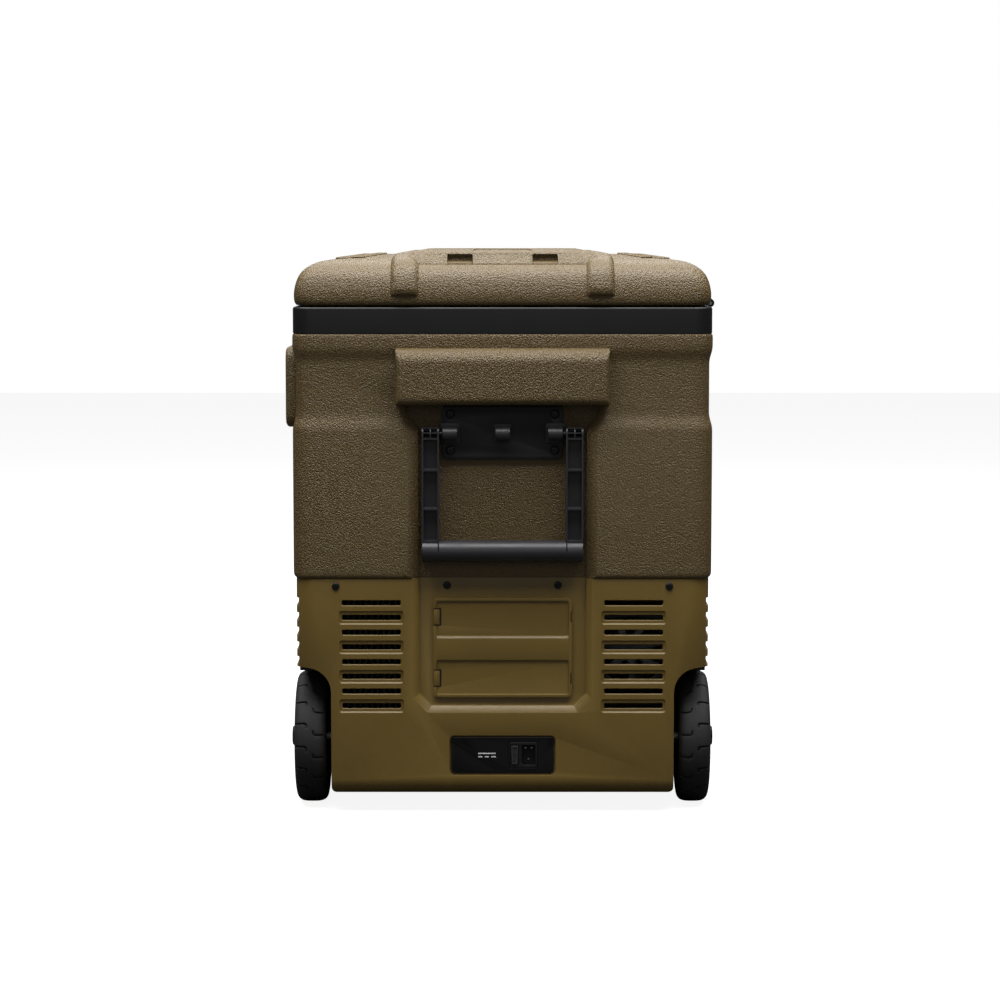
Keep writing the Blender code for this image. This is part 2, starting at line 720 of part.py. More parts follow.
def make_condenser():
    """Finned block behind the left vents."""
    left = -VENT_NEAR - VENT_LENGTH / 2 - FIN_BLOCK_WIDTH / 2
    pitch = (FIN_BLOCK_WIDTH - FIN_THICK) / (FINS - 1)
    front = -LOW_END + WALL + 0.006
    back = front + FIN_BLOCK_DEPTH
    outline = [(left, back), (left + FIN_BLOCK_WIDTH, back)]
    for fin in reversed(range(FINS)):
        u = left + fin * pitch
        outline += [(u + FIN_THICK, front), (u, front)]
        if fin:
            outline += [(u, back - 0.006), (u - pitch + FIN_THICK, back - 0.006)]
    return prism("condenser", outline, "z", FIN_FOOT, FIN_FOOT + FIN_BLOCK_HEIGHT, "aluminium")


def make_fan():
    """Fan frame behind the right vents, and its rotor."""
    front = -LOW_END + WALL + 0.004
    half = FAN_SIZE / 2
    outline = round_outline((FAN_X - half, FAN_MIDDLE - half), (FAN_X + half, FAN_MIDDLE + half),
                            0.004, 2)
    frame = prism("fan_frame", outline, "y", front, front + FAN_DEPTH, "fan_black")
    cut(frame, prism("fan_hole", circle(FAN_HOLE, FAN_X, FAN_MIDDLE, 32), "y",
                     front - THROUGH, front + FAN_DEPTH + THROUGH))
    rings = []
    tip = FAN_HOLE - 0.002
    hub = FAN_HOLE * 0.38
    for depth, twist in ((0.004, 0.0), (FAN_DEPTH - 0.004, 22.0)):
        ring = []
        for blade in range(FAN_BLADES):
            start = 360.0 * blade / FAN_BLADES + twist
            for angle, radius in ((0, hub), (8, tip), (20, tip), (30, hub)):
                turn = math.radians(start + angle)
                ring.append((FAN_X + radius * math.cos(turn), front + depth,
                             FAN_MIDDLE + radius * math.sin(turn)))
        rings.append(ring)
    loft("fan_rotor", rings, "fan_black")


def make_battery_pack():
    """Battery block behind the door."""
    front = -NICHE_Y + WALL + 0.003
    low = DOOR_FOOT + (DOOR_HEIGHT - BATTERY_HEIGHT) / 2
    block = box("battery_pack", (-BATTERY_WIDTH / 2, front, low),
                (BATTERY_WIDTH / 2, front + BATTERY_DEPTH, low + BATTERY_HEIGHT), "battery_grey")
    return bevelled(block, 0.002)


def make_control_board():
    """Circuit board that drives the compressor."""
    back = -END + BAY_LENGTH - 0.006
    low = 0.105
    return box("control_board", (0.020, back - BOARD_THICK, low),
               (0.020 + BOARD_WIDTH, back, low + BOARD_HEIGHT), "board_green")


def make_inlet():
    """Inlet panel, socket with contacts, and fuse drawer."""
    face = -LOW_END + PANEL_RECESS - FIT - PANEL_THICK
    half_x, half_z = PANEL_WIDTH / 2, PANEL_HEIGHT / 2
    outline = round_outline((-half_x, PANEL_MIDDLE - half_z), (half_x, PANEL_MIDDLE + half_z),
                            0.0035, 3)
    panel = prism("inlet_panel", outline, "y", face, face + PANEL_THICK, "black_gloss")
    cut(panel, socket_hole("panel_hole", face - THROUGH, face + THROUGH))
    front = face - 0.0008
    low = PANEL_MIDDLE - SOCKET_HEIGHT / 2
    high = PANEL_MIDDLE + SOCKET_HEIGHT / 2
    right = SOCKET_LEFT + SOCKET_WIDTH
    body = box("inlet_socket", (SOCKET_LEFT, front, low), (right, front + SOCKET_DEPTH, high),
               "black_satin")
    port_right = right - PORT_RIM
    port_low = PANEL_MIDDLE - PORT_HEIGHT / 2
    port = box("port_room", (port_right - PORT_WIDTH, front - THROUGH, port_low),
               (port_right, front + PORT_DEPTH, port_low + PORT_HEIGHT))
    fuse_left = SOCKET_LEFT + PORT_RIM
    fuse_low = PANEL_MIDDLE - FUSE_HEIGHT / 2
    bay = box("fuse_room", (fuse_left, front - THROUGH, fuse_low),
              (fuse_left + FUSE_WIDTH, front + PORT_DEPTH, fuse_low + FUSE_HEIGHT))
    cut(body, port, bay)
    floor = front + PORT_DEPTH
    for i, z in enumerate((-0.25, 0.25)):
        place = (port_right - PORT_WIDTH / 2, PANEL_MIDDLE + z * PORT_HEIGHT)
        contact = prism(f"contact_{i}", circle(CONTACT_RADIUS, *place, 8), "y",
                        floor - CONTACT_LENGTH, floor + 0.002)
        weld(body, contact)
    drawer = box("fuse_drawer", (fuse_left + FIT, front - 0.0012, fuse_low + FIT),
                 (fuse_left + FUSE_WIDTH - FIT, front + PORT_DEPTH - 0.001,
                  fuse_low + FUSE_HEIGHT - FIT), "black_satin")
    bevelled(drawer, 0.0004, 1)


# ================================================================ battery door
def make_battery_door():
    """Door over the battery opening, with two snap clips in its left edge."""
    front = -NICHE_Y - FIT - DOOR_PLATE
    half = DOOR_WIDTH / 2
    top = DOOR_FOOT + DOOR_HEIGHT
    outline = round_outline((-half, DOOR_FOOT), (half, top), DOOR_RADIUS, 3)
    door = prism("battery_door", outline, "y", front, front + DOOR_PLATE, "khaki_satin")
    inner = half - DOOR_LIP - 0.002
    tray = box("door_tray", (-inner, front + DOOR_PLATE * 0.5, DOOR_FOOT + DOOR_LIP + 0.001),
               (inner - 0.004, front + DOOR_PLATE + DOOR_TRAY, top - DOOR_LIP - 0.001))
    weld(door, tray)
    margin = 0.006
    bar_low, bar_high = DOOR_FOOT + 0.0368, DOOR_FOOT + 0.0600
    recess = ((-half + 0.0075, front - THROUGH, DOOR_FOOT + margin * 0.7),
              (half - margin, front + 0.0012, bar_low)), \
             ((-half + 0.0075, front - THROUGH, bar_high),
              (half - margin, front + 0.0012, top - margin * 0.7))
    cut(door, boxes("door_panels", recess))
    notches = []
    for level, name in zip(CLIP_LEVELS, ("door_clip_lower", "door_clip_upper")):
        low = level - CLIP_HEIGHT / 2
        left = -half - 0.0001
        notches.append(((left - THROUGH, front - THROUGH, low - FIT),
                        (left + CLIP_WIDTH + CLIP_TRAVEL + FIT, front + 0.0018,
                         low + CLIP_HEIGHT + FIT)))
        clip = box(name, (left + FIT, front, low), (left + CLIP_WIDTH, front + 0.0015,
                                                    low + CLIP_HEIGHT), "khaki_satin")
        bevelled(clip, 0.0004, 1)
    cut(door, boxes("clip_notches", notches))


# ================================================================ bail handle
def make_hinge_plate():
    """Black plate with three knuckles that carries the bail handle."""
    back = -NICHE_Y - FIT
    half = PLATE_WIDTH / 2
    outline = round_outline((-half, PLATE_TOP - PLATE_HEIGHT), (half, PLATE_TOP), PLATE_RADIUS, 3)
    plate = prism("handle_plate", outline, "y", back - PLATE_THICK, back, "black_satin")
    for i, x in enumerate(KNUCKLE_PLACES):
        ring = circle(KNUCKLE_RADIUS, PIN_Y, PIN_HEIGHT, 16)
        left, right = x - KNUCKLE_WIDTH / 2, x + KNUCKLE_WIDTH / 2
        weld(plate, prism(f"knuckle_{i}", ring, "x", left, right))
        web = box(f"knuckle_web_{i}", (left + 0.002, PIN_Y, PIN_HEIGHT - KNUCKLE_RADIUS * 0.7),
                  (right - 0.002, back - PLATE_THICK * 0.5, PIN_HEIGHT + KNUCKLE_RADIUS * 0.7))
        weld(plate, web)
    cut(plate, pin_bore("plate_bore"))
    reach = BAIL_INNER + BAIL_ARM - BAIL_RIB_WALL
    prism("handle_pin", circle(PIN_RADIUS, PIN_Y, PIN_HEIGHT, 12), "x", -reach, reach, "steel")


def pin_bore(name):
    """Running bore for the bail handle's pin."""
    return prism(name, circle(PIN_RADIUS + RUN, PIN_Y, PIN_HEIGHT, 12), "x", -SIDE, SIDE)


def make_bail_handle():
    """Swing handle: two ribbed arms and a round grip bar."""
    front = PIN_Y - BAIL_THICK / 2
    outer = BAIL_INNER + BAIL_ARM
    foot = PIN_HEIGHT - BAIL_DROP
    grip_radius = BAIL_GRIP / 2
    bar = prism("bail_handle", circle(grip_radius, PIN_Y, foot + grip_radius, 20), "x",
                -outer, outer, "black_satin")
    half = BAIL_THICK / 2
    for side in (-1, 1):
        name = f"arm_{'left' if side < 0 else 'right'}"
        outline = [(front, foot + grip_radius), (front + BAIL_THICK, foot + grip_radius)]
        for step in range(2 * ARC + 1):
            turn = math.radians(180 * step / (2 * ARC))
            outline.append((PIN_Y + half * math.cos(turn), PIN_HEIGHT + half * math.sin(turn)))
        xs = sorted((side * BAIL_INNER, side * outer))
        weld(bar, prism(name, outline, "x", *xs))
        pockets = []
        for start, stop in BAIL_POCKETS:
            pockets.append(((xs[0] + BAIL_RIB_WALL * 1.6, front - THROUGH, PIN_HEIGHT - stop),
                            (xs[1] - BAIL_RIB_WALL * 1.6, front + BAIL_THICK * 0.62,
                             PIN_HEIGHT - start)))
        cut(bar, boxes(name + "_pockets", pockets))
    cut(bar, pin_bore("bail_bore"))
    return bar


# ================================================================ wheels
def make_wheels():
    """Axle, and for each side a tyre, a hub and a cap."""
    reach = SIDE - 0.006
    prism("axle", circle(AXLE_RADIUS, AXLE_Y, WHEEL_RADIUS), "x", -reach, reach, "steel")
    outer = SIDE + 0.0004
    inner = outer - TYRE_WIDTH
    shoulder = 0.007
    for side, word in ((-1, "left"), (1, "right")):
        def across(profile):
            """Profile heights counted along X on this side."""
            return [(radius, side * x) for radius, x in profile]
        centre = (0.0, AXLE_Y, WHEEL_RADIUS)
        tread = [(TYRE_INSIDE + FIT, inner + 0.002), (TYRE_INSIDE + FIT, outer - 0.002),
                 (TYRE_INSIDE + 0.004, outer), (WHEEL_RADIUS - shoulder, outer),
                 (WHEEL_RADIUS - shoulder * 0.3, outer - shoulder * 0.3),
                 (WHEEL_RADIUS, outer - shoulder), (WHEEL_RADIUS, inner + shoulder),
                 (WHEEL_RADIUS - shoulder * 0.3, inner + shoulder * 0.3),
                 (WHEEL_RADIUS - shoulder, inner), (TYRE_INSIDE + 0.004, inner)]
        turned(f"tyre_{word}", across(tread), "x", centre, "tyre_rubber", 40)
        bore = AXLE_RADIUS + RUN
        middle = (inner + outer) / 2
        near, far = middle - HUB_WIDTH / 2, middle + HUB_WIDTH / 2
        hub = [(bore, near), (bore, far), (CAP_RADIUS, far), (CAP_RADIUS + 0.003, far - 0.004),
               (TYRE_INSIDE - 0.006, far - 0.006), (TYRE_INSIDE - 0.003, far),
               (TYRE_INSIDE, far), (TYRE_INSIDE, near), (TYRE_INSIDE - 0.003, near),
               (TYRE_INSIDE - 0.006, near + 0.006), (CAP_RADIUS, near + 0.006),
               (CAP_RADIUS - 0.004, near)]
        turned(f"hub_{word}", across(hub), "x", centre, "black_satin", 40)
        tip = SIDE + CAP_PROUD + 0.0006
        start = far + FIT
        cap = [(0.0, start), (CAP_RADIUS - 0.001, start), (CAP_RADIUS - 0.001, tip - 0.002),
               (CAP_RADIUS * 0.75, tip - 0.0006), (0.0, tip)]
        turned(f"wheel_cap_{word}", across(cap), "x", centre, "black_satin", 24)


def make_feet():
    """Two rubber feet under the pull-handle end."""
    for side, word in ((-1, "left"), (1, "right")):
        height = CLEARANCE_Z - FIT
        profile = [(0.0, 0.0), (FOOT_RADIUS - 0.002, 0.0), (FOOT_RADIUS, 0.002),
                   (FOOT_RADIUS - 0.003, height), (0.0, height)]
        turned(f"foot_{word}", profile, "z", (side * FOOT_SPREAD, END - FOOT_SETBACK, 0.0),
               "seal_rubber", 24)


# ================================================================ pull handle
def make_pull_handle():
    """Telescoping handle: fixed tubes and brackets, sliding rods, grip and button."""
    line = END + GRIP_PROUD / 2
    rod = TUBE_RADIUS - TUBE_WALL - RUN
    grip_foot = TUBE_TOP + ROD_EXPOSED
    for side, word in ((-1, "left"), (1, "right")):
        x = side * ROD_SPACING / 2
        tube = prism(f"pull_tube_{word}", circle(TUBE_RADIUS, x, line, 16), "z", TUBE_FOOT,
                     TUBE_TOP, "aluminium")
        cut(tube, prism(f"tube_bore_{word}", circle(TUBE_RADIUS - TUBE_WALL, x, line, 16), "z",
                        TUBE_FOOT - THROUGH, TUBE_TOP + THROUGH))
        prism(f"pull_rod_{word}", circle(rod, x, line, 16), "z", TUBE_FOOT + 0.006,
              grip_foot - FIT, "aluminium")
    for word, level in zip(("bottom", "top"), BRACKET_LEVELS):
        half = BRACKET_WIDTH / 2
        outline = round_outline((-half, NICHE_Y + FIT), (half, line + TUBE_RADIUS + BRACKET_COVER),
                                0.004, 2)
        clamp = prism(f"pull_bracket_{word}", outline, "z", level, level + BRACKET_HEIGHT,
                      "black_satin")
        for side in (-1, 1):
            hole = prism(f"bracket_{word}_hole_{side}",
                         circle(TUBE_RADIUS + FIT, side * ROD_SPACING / 2, line, 16), "z",
                         level - THROUGH, level + BRACKET_HEIGHT + THROUGH)
            cut(clamp, hole)
    half = PULL_GRIP_LENGTH / 2
    back = END + GRIP_PROUD - PULL_GRIP_DEPTH
    outline = round_outline((back, grip_foot), (back + PULL_GRIP_DEPTH,
                                                grip_foot + PULL_GRIP_HEIGHT), 0.006)
    grip = prism("pull_grip", outline, "x", -half, half, "black_satin")
    centre = back + PULL_GRIP_DEPTH / 2
    top = grip_foot + PULL_GRIP_HEIGHT
    reach = PULL_BUTTON_LENGTH / 2
    wide = PULL_BUTTON_WIDTH / 2
    pocket = prism("button_pocket", round_outline((-reach - FIT, centre - wide - FIT),
                                                  (reach + FIT, centre + wide + FIT),
                                                  0.003 + FIT, 3),
                   "z", top - 0.006, top + THROUGH)
    cut(grip, pocket)
    prism("pull_button", round_outline((-reach, centre - wide), (reach, centre + wide), 0.003, 3),
          "z", top - 0.0030, top + PULL_BUTTON_PROUD - 0.001, "key_grey")


# ================================================================ lid
def lid_ring(z_above, inset):
    """Section of the lid at a height above its lower edge."""
    half_x = SIDE - LID_INSET - inset
    half_y = END - LID_INSET - inset
    return plan_ring(half_x, half_y, max(PLAN_RADIUS - inset * 0.4, 0.010), LID_Z + z_above)


def rib(name, side):
    """Lengthwise rib that wraps over the wheel end and stops at the far end's shoulder."""
    line = [(-END + LID_INSET, LID_Z + RIB_START)]
    line += [(-END + LID_INSET + inset, LID_Z + z) for z, inset in LID_PROFILE[3:]]
    edge = offset_line(line, RIB_PROUD)
    front = [(line[0][0] + 2 * LID_WALL, line[0][1] - RIB_SINK)] + edge
    rear = [(-y, z) for y, z in reversed(front) if y > -END + LID_INSET]
    outline = front + rear
    centre = side * RIB_CENTRE
    return prism(name, outline, "x", centre - RIB_WIDTH / 2, centre + RIB_WIDTH / 2)


def make_lid_shell():
    """Outer lid skin with two ribs, a raised plateau and a hollow underside."""
    shell = loft("lid_shell", [lid_ring(z, inset) for z, inset in LID_PROFILE], "khaki_grain")
    weld(shell, rib("rib_left", -1), rib("rib_right", 1))
    top = LID_TOP + PLATEAU_PROUD
    end = END - LID_INSET - PLATEAU_INSET
    rings = []
    for z, half, y in ((LID_TOP - PLATEAU_ROOT, PLATEAU_FOOT_HALF, end),
                       (top, PLATEAU_HALF, end - PLATEAU_SLOPE)):
        rings.append([(-half, -y, z), (half, -y, z), (half, y, z), (-half, y, z)])
    weld(shell, loft("plateau", rings))
    pockets = []
    for end_side in (-1, 1):
        for side in (-1, 1):
            xs = sorted((side * LID_POCKET_NEAR, side * (LID_POCKET_NEAR + LID_POCKET_WIDTH)))
            ys = sorted((end_side * (end + 0.004), end_side * (end - LID_POCKET_LENGTH)))
            pockets.append(((xs[0], ys[0], top - PLATEAU_PROUD + 0.0008), (xs[1], ys[1], top + THROUGH)))
    cut(shell, boxes("lid_pockets", pockets))
    half = LATCH_LENGTH / 2 + 0.002
    cut(shell, box("latch_pocket", (-SIDE - THROUGH, -half, LID_Z - THROUGH),
                   (-SIDE + LID_INSET + 0.0012, half, LID_Z + LATCH_PIVOT + LATCH_CUT)))
    cut(shell, lid_room("lid_room", LID_WALL, -THROUGH))
    return shell


def lid_room(name, wall, low, look=None):
    """Hollow of the lid, its walls moved in by wall, starting low above the lid's edge."""
    rings = [lid_ring(low, wall + 0.0025)]
    for z, inset in LID_PROFILE[2:7]:
        rings.append(lid_ring(z - wall * 0.6, inset + wall + 0.0012))
    return loft(name, rings, look)


def make_lid_inside():
    """Foam, liner plate and gasket carried by the lid."""
    start = LINER_PLATE + 2 * FIT
    lid_room("lid_foam", LID_WALL + FOAM_GAP, start + FIT, "foam")
    inset = LID_WALL + 0.0040
    ring = [plan_ring(SIDE - LID_INSET - inset, END - LID_INSET - inset, 0.014, LID_Z + z)
            for z in (FIT, FIT + LINER_PLATE)]
    loft("lid_liner", ring, "liner_white")
    high = LID_Z
    low = high - GASKET_THICK
    half_x = SIDE - LINER_SIDE_INSET + 0.004
    half_y = END - LINER_END_INSET + 0.004
    gasket = loft("lid_gasket", [plan_ring(half_x + GASKET_WIDTH, half_y + GASKET_WIDTH,
                                           LINER_RADIUS + GASKET_WIDTH, z)
                                 for z in (low, high)], "seal_rubber")
    cut(gasket, loft("gasket_hole", [plan_ring(half_x, half_y, LINER_RADIUS, z)
                                     for z in (low - THROUGH, high + THROUGH)]))


def make_lid_hinges():
    """Two side hinges: base on the frame, leaf on the lid, steel pin."""
    for y, word in zip(HINGE_PLACES, ("front", "rear")):
        inner = HINGE_MIDDLE / 2
        half = HINGE_LENGTH / 2
        face = SIDE
        knuckle = circle(HINGE_RADIUS, HINGE_X, HINGE_Z, 16)
        plate_top = RIM_TOP - 0.004
        base = box(f"hinge_base_{word}", (face, y - half, plate_top - HINGE_PLATE_HEIGHT),
                   (face + HINGE_PLATE, y + half, plate_top), "black_satin")
        weld(base, prism(f"base_knuckle_{word}", knuckle, "y", y - inner, y + inner))
        web = [(face, plate_top - 0.009), (face + HINGE_PLATE, plate_top - 0.009),
               (HINGE_X + HINGE_RADIUS * 0.9, HINGE_Z - 0.001), (HINGE_X, HINGE_Z),
               (face, HINGE_Z - 0.0045)]
        weld(base, prism(f"base_web_{word}", web, "y", y - inner + 0.0005, y + inner - 0.0005))
        leaf_face = SIDE - LID_INSET + FIT
        leaf_low = LID_Z + 0.0048
        leaf = box(f"hinge_leaf_{word}", (leaf_face, y - half, leaf_low),
                   (leaf_face + HINGE_PLATE, y + half, leaf_low + HINGE_PLATE_HEIGHT * 0.6),
                   "black_satin")
        for side in (-1, 1):
            ys = sorted((y + side * (inner + FIT), y + side * half))
            weld(leaf, prism(f"leaf_knuckle_{word}_{side}", knuckle, "y", *ys))
            arm = [(leaf_face, leaf_low), (HINGE_X, HINGE_Z), (HINGE_X + HINGE_RADIUS * 0.9,
                                                               HINGE_Z + 0.001),
                   (leaf_face + HINGE_PLATE, leaf_low + 0.007), (leaf_face, leaf_low + 0.007)]
            weld(leaf, prism(f"leaf_arm_{word}_{side}", arm, "y", ys[0] + 0.0005, ys[1] - 0.0005))
        bore = circle(HINGE_PIN_RADIUS + RUN, HINGE_X, HINGE_Z, 12)
        cut(base, prism(f"base_bore_{word}", bore, "y", y - half - THROUGH, y + half + THROUGH))
        cut(leaf, prism(f"leaf_bore_{word}", bore, "y", y - half - THROUGH, y + half + THROUGH))
        prism(f"hinge_pin_{word}", circle(HINGE_PIN_RADIUS, HINGE_X, HINGE_Z, 12), "y",
              y - half - 0.001, y + half + 0.001, "steel")


def make_latch():
    """Lid latch on the control side: bracket on the lid, lever and pin."""
    z = LID_Z + LATCH_PIVOT
    inner = -SIDE - FIT
    x = inner - LATCH_THICK / 2
    half = LATCH_LENGTH / 2
    ear_start = half - LATCH_EAR
    lid_face = -SIDE + LID_INSET + 0.0012 - FIT
    bracket = box("latch_bracket", (lid_face - 0.0016, -half, z - 0.006),
                  (lid_face, half, z + 0.006), "black_satin")
    ring = circle(LATCH_KNUCKLE, x, z, 14)
    for side in (-1, 1):
        ys = sorted((side * ear_start, side * half))
        weld(bracket, prism(f"latch_ear_{side}", ring, "y", *ys),
             box(f"latch_ear_web_{side}", (x, ys[0], z - 0.003), (lid_face - 0.0008, ys[1], z + 0.003)))
    lever_half = ear_start - 0.0005
    low = z - LATCH_HEIGHT
    outline = [(inner, low + 0.004), (inner, z - 0.0072), (x, z), (inner - LATCH_THICK, z - 0.001),
               (inner - LATCH_THICK, low + 0.010), (inner - LATCH_THICK * 0.75, low),
               (inner - 0.001, low)]
    lever = prism("latch_lever", outline, "y", -lever_half, lever_half, "black_satin")
    weld(lever, prism("lever_knuckle", ring, "y", -lever_half + 0.0003, lever_half - 0.0003))
    bore = circle(LATCH_PIN_RADIUS + RUN, x, z, 12)
    cut(bracket, prism("bracket_bore", bore, "y", -half - THROUGH, half + THROUGH))
    cut(lever, prism("lever_bore", bore, "y", -half - THROUGH, half + THROUGH))
    prism("latch_pin", circle(LATCH_PIN_RADIUS, x, z, 12), "y", -half, half, "steel")


# ================================================================ controls, interior
def make_control_pod():
    """Control pod on the side wall with a display and three keys."""
    bed = -SIDE + BELT_DEPTH + POD_BED - FIT
    face = -SIDE - POD_REACH
    rings = []
    for x, shrink in ((bed, 0.0), (face + POD_CHAMFER, 0.0), (face, POD_CHAMFER)):
        rings.append(along(pod_outline(-shrink), "x", x))
    pod = loft("control_pod", rings, "black_satin")
    start = -END + POD_START + 0.018
    half = SCREEN_HEIGHT / 2
    outline = round_outline((start, POD_MIDDLE - half), (start + SCREEN_LENGTH, POD_MIDDLE + half),
                            0.004, 3)
    wide = round_outline((start - FIT, POD_MIDDLE - half - FIT),
                         (start + SCREEN_LENGTH + FIT, POD_MIDDLE + half + FIT), 0.004 + FIT, 3)
    cut(pod, prism("screen_bed", wide, "x", face - THROUGH, face + SCREEN_THICK))
    prism("display_window", outline, "x", face + FIT * 0.5, face + SCREEN_THICK - FIT,
          "black_gloss")
    first = start + SCREEN_LENGTH + KEY_PITCH * 0.9
    for i, name in enumerate(KEY_NAMES):
        y = first + i * KEY_PITCH
        hole = prism(name + "_hole", circle(KEY_RADIUS + FIT, y, POD_MIDDLE, 20), "x",
                     face - THROUGH, face + KEY_DEPTH)
        cut(pod, hole)
        profile = [(0.0, 0.0), (KEY_RADIUS, 0.0), (KEY_RADIUS, KEY_PROUD + 0.0015),
                   (KEY_RADIUS - 0.0008, KEY_PROUD + 0.0022), (0.0, KEY_PROUD + 0.0022)]
        depth = face - KEY_PROUD + 0.0022
        turned(name, [(r, -h) for r, h in profile], "x", (depth + KEY_PROUD, y, POD_MIDDLE),
               "key_grey", 20)


def make_basket():
    """Lift-out basket in the shallow end of the tub."""
    gap = LINER_WALL + BASKET_GAP
    half = SIDE - LINER_SIDE_INSET - gap
    front = -END + LINER_END_INSET + gap
    back = -END + STEP_FROM_END - 0.006
    floor = STEP_FLOOR + LINER_WALL + FIT
    outline = round_outline((-half, front), (half, back), 0.018, 3)
    inner = round_outline((-half + BASKET_WALL, front + BASKET_WALL),
                          (half - BASKET_WALL, back - BASKET_WALL), 0.018 - BASKET_WALL, 3)
    basket = prism("basket", outline, "z", floor, floor + BASKET_HEIGHT, "battery_grey")
    cut(basket, prism("basket_room", inner, "z", floor + BASKET_WALL,
                      floor + BASKET_HEIGHT + THROUGH))
    slots = []
    pitch = 2 * (half - 0.020) / BASKET_SLOTS
    for i in range(BASKET_SLOTS):
        x = -half + 0.020 + i * pitch
        slots.append(((x + pitch * 0.2, front - THROUGH, floor + 0.025),
                      (x + pitch * 0.8, back + THROUGH, floor + 0.095)))
    cut(basket, boxes("basket_slots", slots))
    return basket


def make_lamp():
    """Interior lamp on the liner's wheel-end wall."""
    wall = -END + LINER_END_INSET + LINER_WALL + FIT
    top = RIM_TOP - LAMP_DROP
    lamp = box("interior_lamp", (-LAMP_LENGTH / 2, wall, top - LAMP_HEIGHT),
               (LAMP_LENGTH / 2, wall + LAMP_DEPTH, top), "lamp_lens")
    return bevelled(lamp, 0.0015)


def main():
    """Build the whole fridge."""
    clear_scene()
    make_upper_shell()
    make_lower_shell()
    make_rim_frame()
    make_inner_liner()
    make_foam_core()
    make_base_plate()
    make_compressor()
    make_condenser()
    make_fan()
    make_battery_pack()
    make_control_board()
    make_inlet()
    make_battery_door()
    make_hinge_plate()
    make_bail_handle()
    make_wheels()
    make_feet()
    make_pull_handle()
    make_lid_shell()
    make_lid_inside()
    make_lid_hinges()
    make_latch()
    make_control_pod()
    make_basket()
    make_lamp()


main()
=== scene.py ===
"""Looks of a wheeled compressor cooler fridge.

The fixed frame gives every place and overall size.  Each sub-assembly below is a
class that models its visible pieces with Blender's operators and dresses them.
Metres, +Z up; the wheel end faces -Y and the control side faces -X.
"""
from __future__ import annotations

import json
import logging
import math
from dataclasses import dataclass
from enum import Enum
from typing import Callable, Iterable, Sequence

import bmesh
import bpy
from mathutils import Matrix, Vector

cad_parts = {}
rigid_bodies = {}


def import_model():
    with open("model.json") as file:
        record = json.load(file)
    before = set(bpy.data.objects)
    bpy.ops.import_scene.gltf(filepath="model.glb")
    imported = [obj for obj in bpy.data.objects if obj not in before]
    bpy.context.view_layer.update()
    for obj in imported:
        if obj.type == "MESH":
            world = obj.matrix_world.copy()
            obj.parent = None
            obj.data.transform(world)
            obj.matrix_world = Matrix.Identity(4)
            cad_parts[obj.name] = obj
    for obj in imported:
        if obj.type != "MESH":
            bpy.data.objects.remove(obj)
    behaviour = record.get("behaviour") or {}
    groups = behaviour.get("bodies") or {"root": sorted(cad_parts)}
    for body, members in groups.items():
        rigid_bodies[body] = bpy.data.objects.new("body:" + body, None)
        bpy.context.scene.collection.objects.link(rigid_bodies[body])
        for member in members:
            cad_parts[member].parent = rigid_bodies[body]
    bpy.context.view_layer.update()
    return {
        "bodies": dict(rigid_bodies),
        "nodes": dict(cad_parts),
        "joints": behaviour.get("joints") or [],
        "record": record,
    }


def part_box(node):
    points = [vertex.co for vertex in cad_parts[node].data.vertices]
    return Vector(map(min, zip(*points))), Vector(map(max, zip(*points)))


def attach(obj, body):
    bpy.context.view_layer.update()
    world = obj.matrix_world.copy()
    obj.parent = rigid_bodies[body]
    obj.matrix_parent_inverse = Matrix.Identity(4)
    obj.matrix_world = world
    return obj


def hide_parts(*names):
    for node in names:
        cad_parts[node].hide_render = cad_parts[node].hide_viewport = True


Piece = bpy.types.Object
Node = bpy.types.Node
Socket = bpy.types.NodeSocket
Point = tuple[float, float, float]
Flat = tuple[float, float]
LOG = logging.getLogger("cooler_fridge")
SIDES = ((-1, "left"), (1, "right"))
PAST = 0.010                 # how far a cutter runs past what it cuts
ARC = 6                      # segments in a quarter round
MERGE = 0.00001              # points closer than this are one point


# ================================================================ finishes
class Grain(Enum):
    """Kinds of surface texture."""

    PEBBLE = "pebble"
    SATIN = "satin"
    BRUSHED = "brushed"
    RUBBER = "rubber"


class Slot:
    """Material slots of the record."""

    BLACK = "black_satin_plastic"
    GLOSS = "gloss_black_plastic"
    GRAINED = "grained_case"
    GREY = "grey_plastic"
    LINER = "white_liner"
    SATIN = "satin_case"
    SEAL = "seal_rubber"
    STEEL = "steel_parts"
    TUBE = "handle_tube"
    TYRE = "tyre_rubber"


class Wiring:
    """A node tree with short calls for adding and joining nodes."""

    def __init__(self, tree: bpy.types.NodeTree) -> None:
        """Keep the tree.

        Args:
            tree: the node tree to add to.
        """
        self.tree = tree

    def add(self, kind: str, **values: object) -> Node:
        """Add a node.

        Args:
            kind: the node's type name.
            values: node settings, or inputs written with a leading in_ and _ for spaces.

        Returns:
            The new node.
        """
        node = self.tree.nodes.new(kind)
        for key, value in values.items():
            if key.startswith("in_"):
                node.inputs[key[3:].replace("_", " ")].default_value = value
            else:
                setattr(node, key, value)
        return node

    def join(self, source: Socket, target: Socket) -> None:
        """Link an output to an input."""
        self.tree.links.new(source, target)

    def math(self, kind: str, first: object, second: object) -> Socket:
        """Add a Math node fed by sockets or plain numbers.

        Args:
            kind: the operation.
            first: a socket or a number.
            second: a socket or a number.

        Returns:
            The result's socket.
        """
        node = self.add("ShaderNodeMath", operation=kind)
        for slot, value in zip(node.inputs, (first, second)):
            if isinstance(value, Socket):
                self.join(value, slot)
            else:
                slot.default_value = value
        return node.outputs[0]


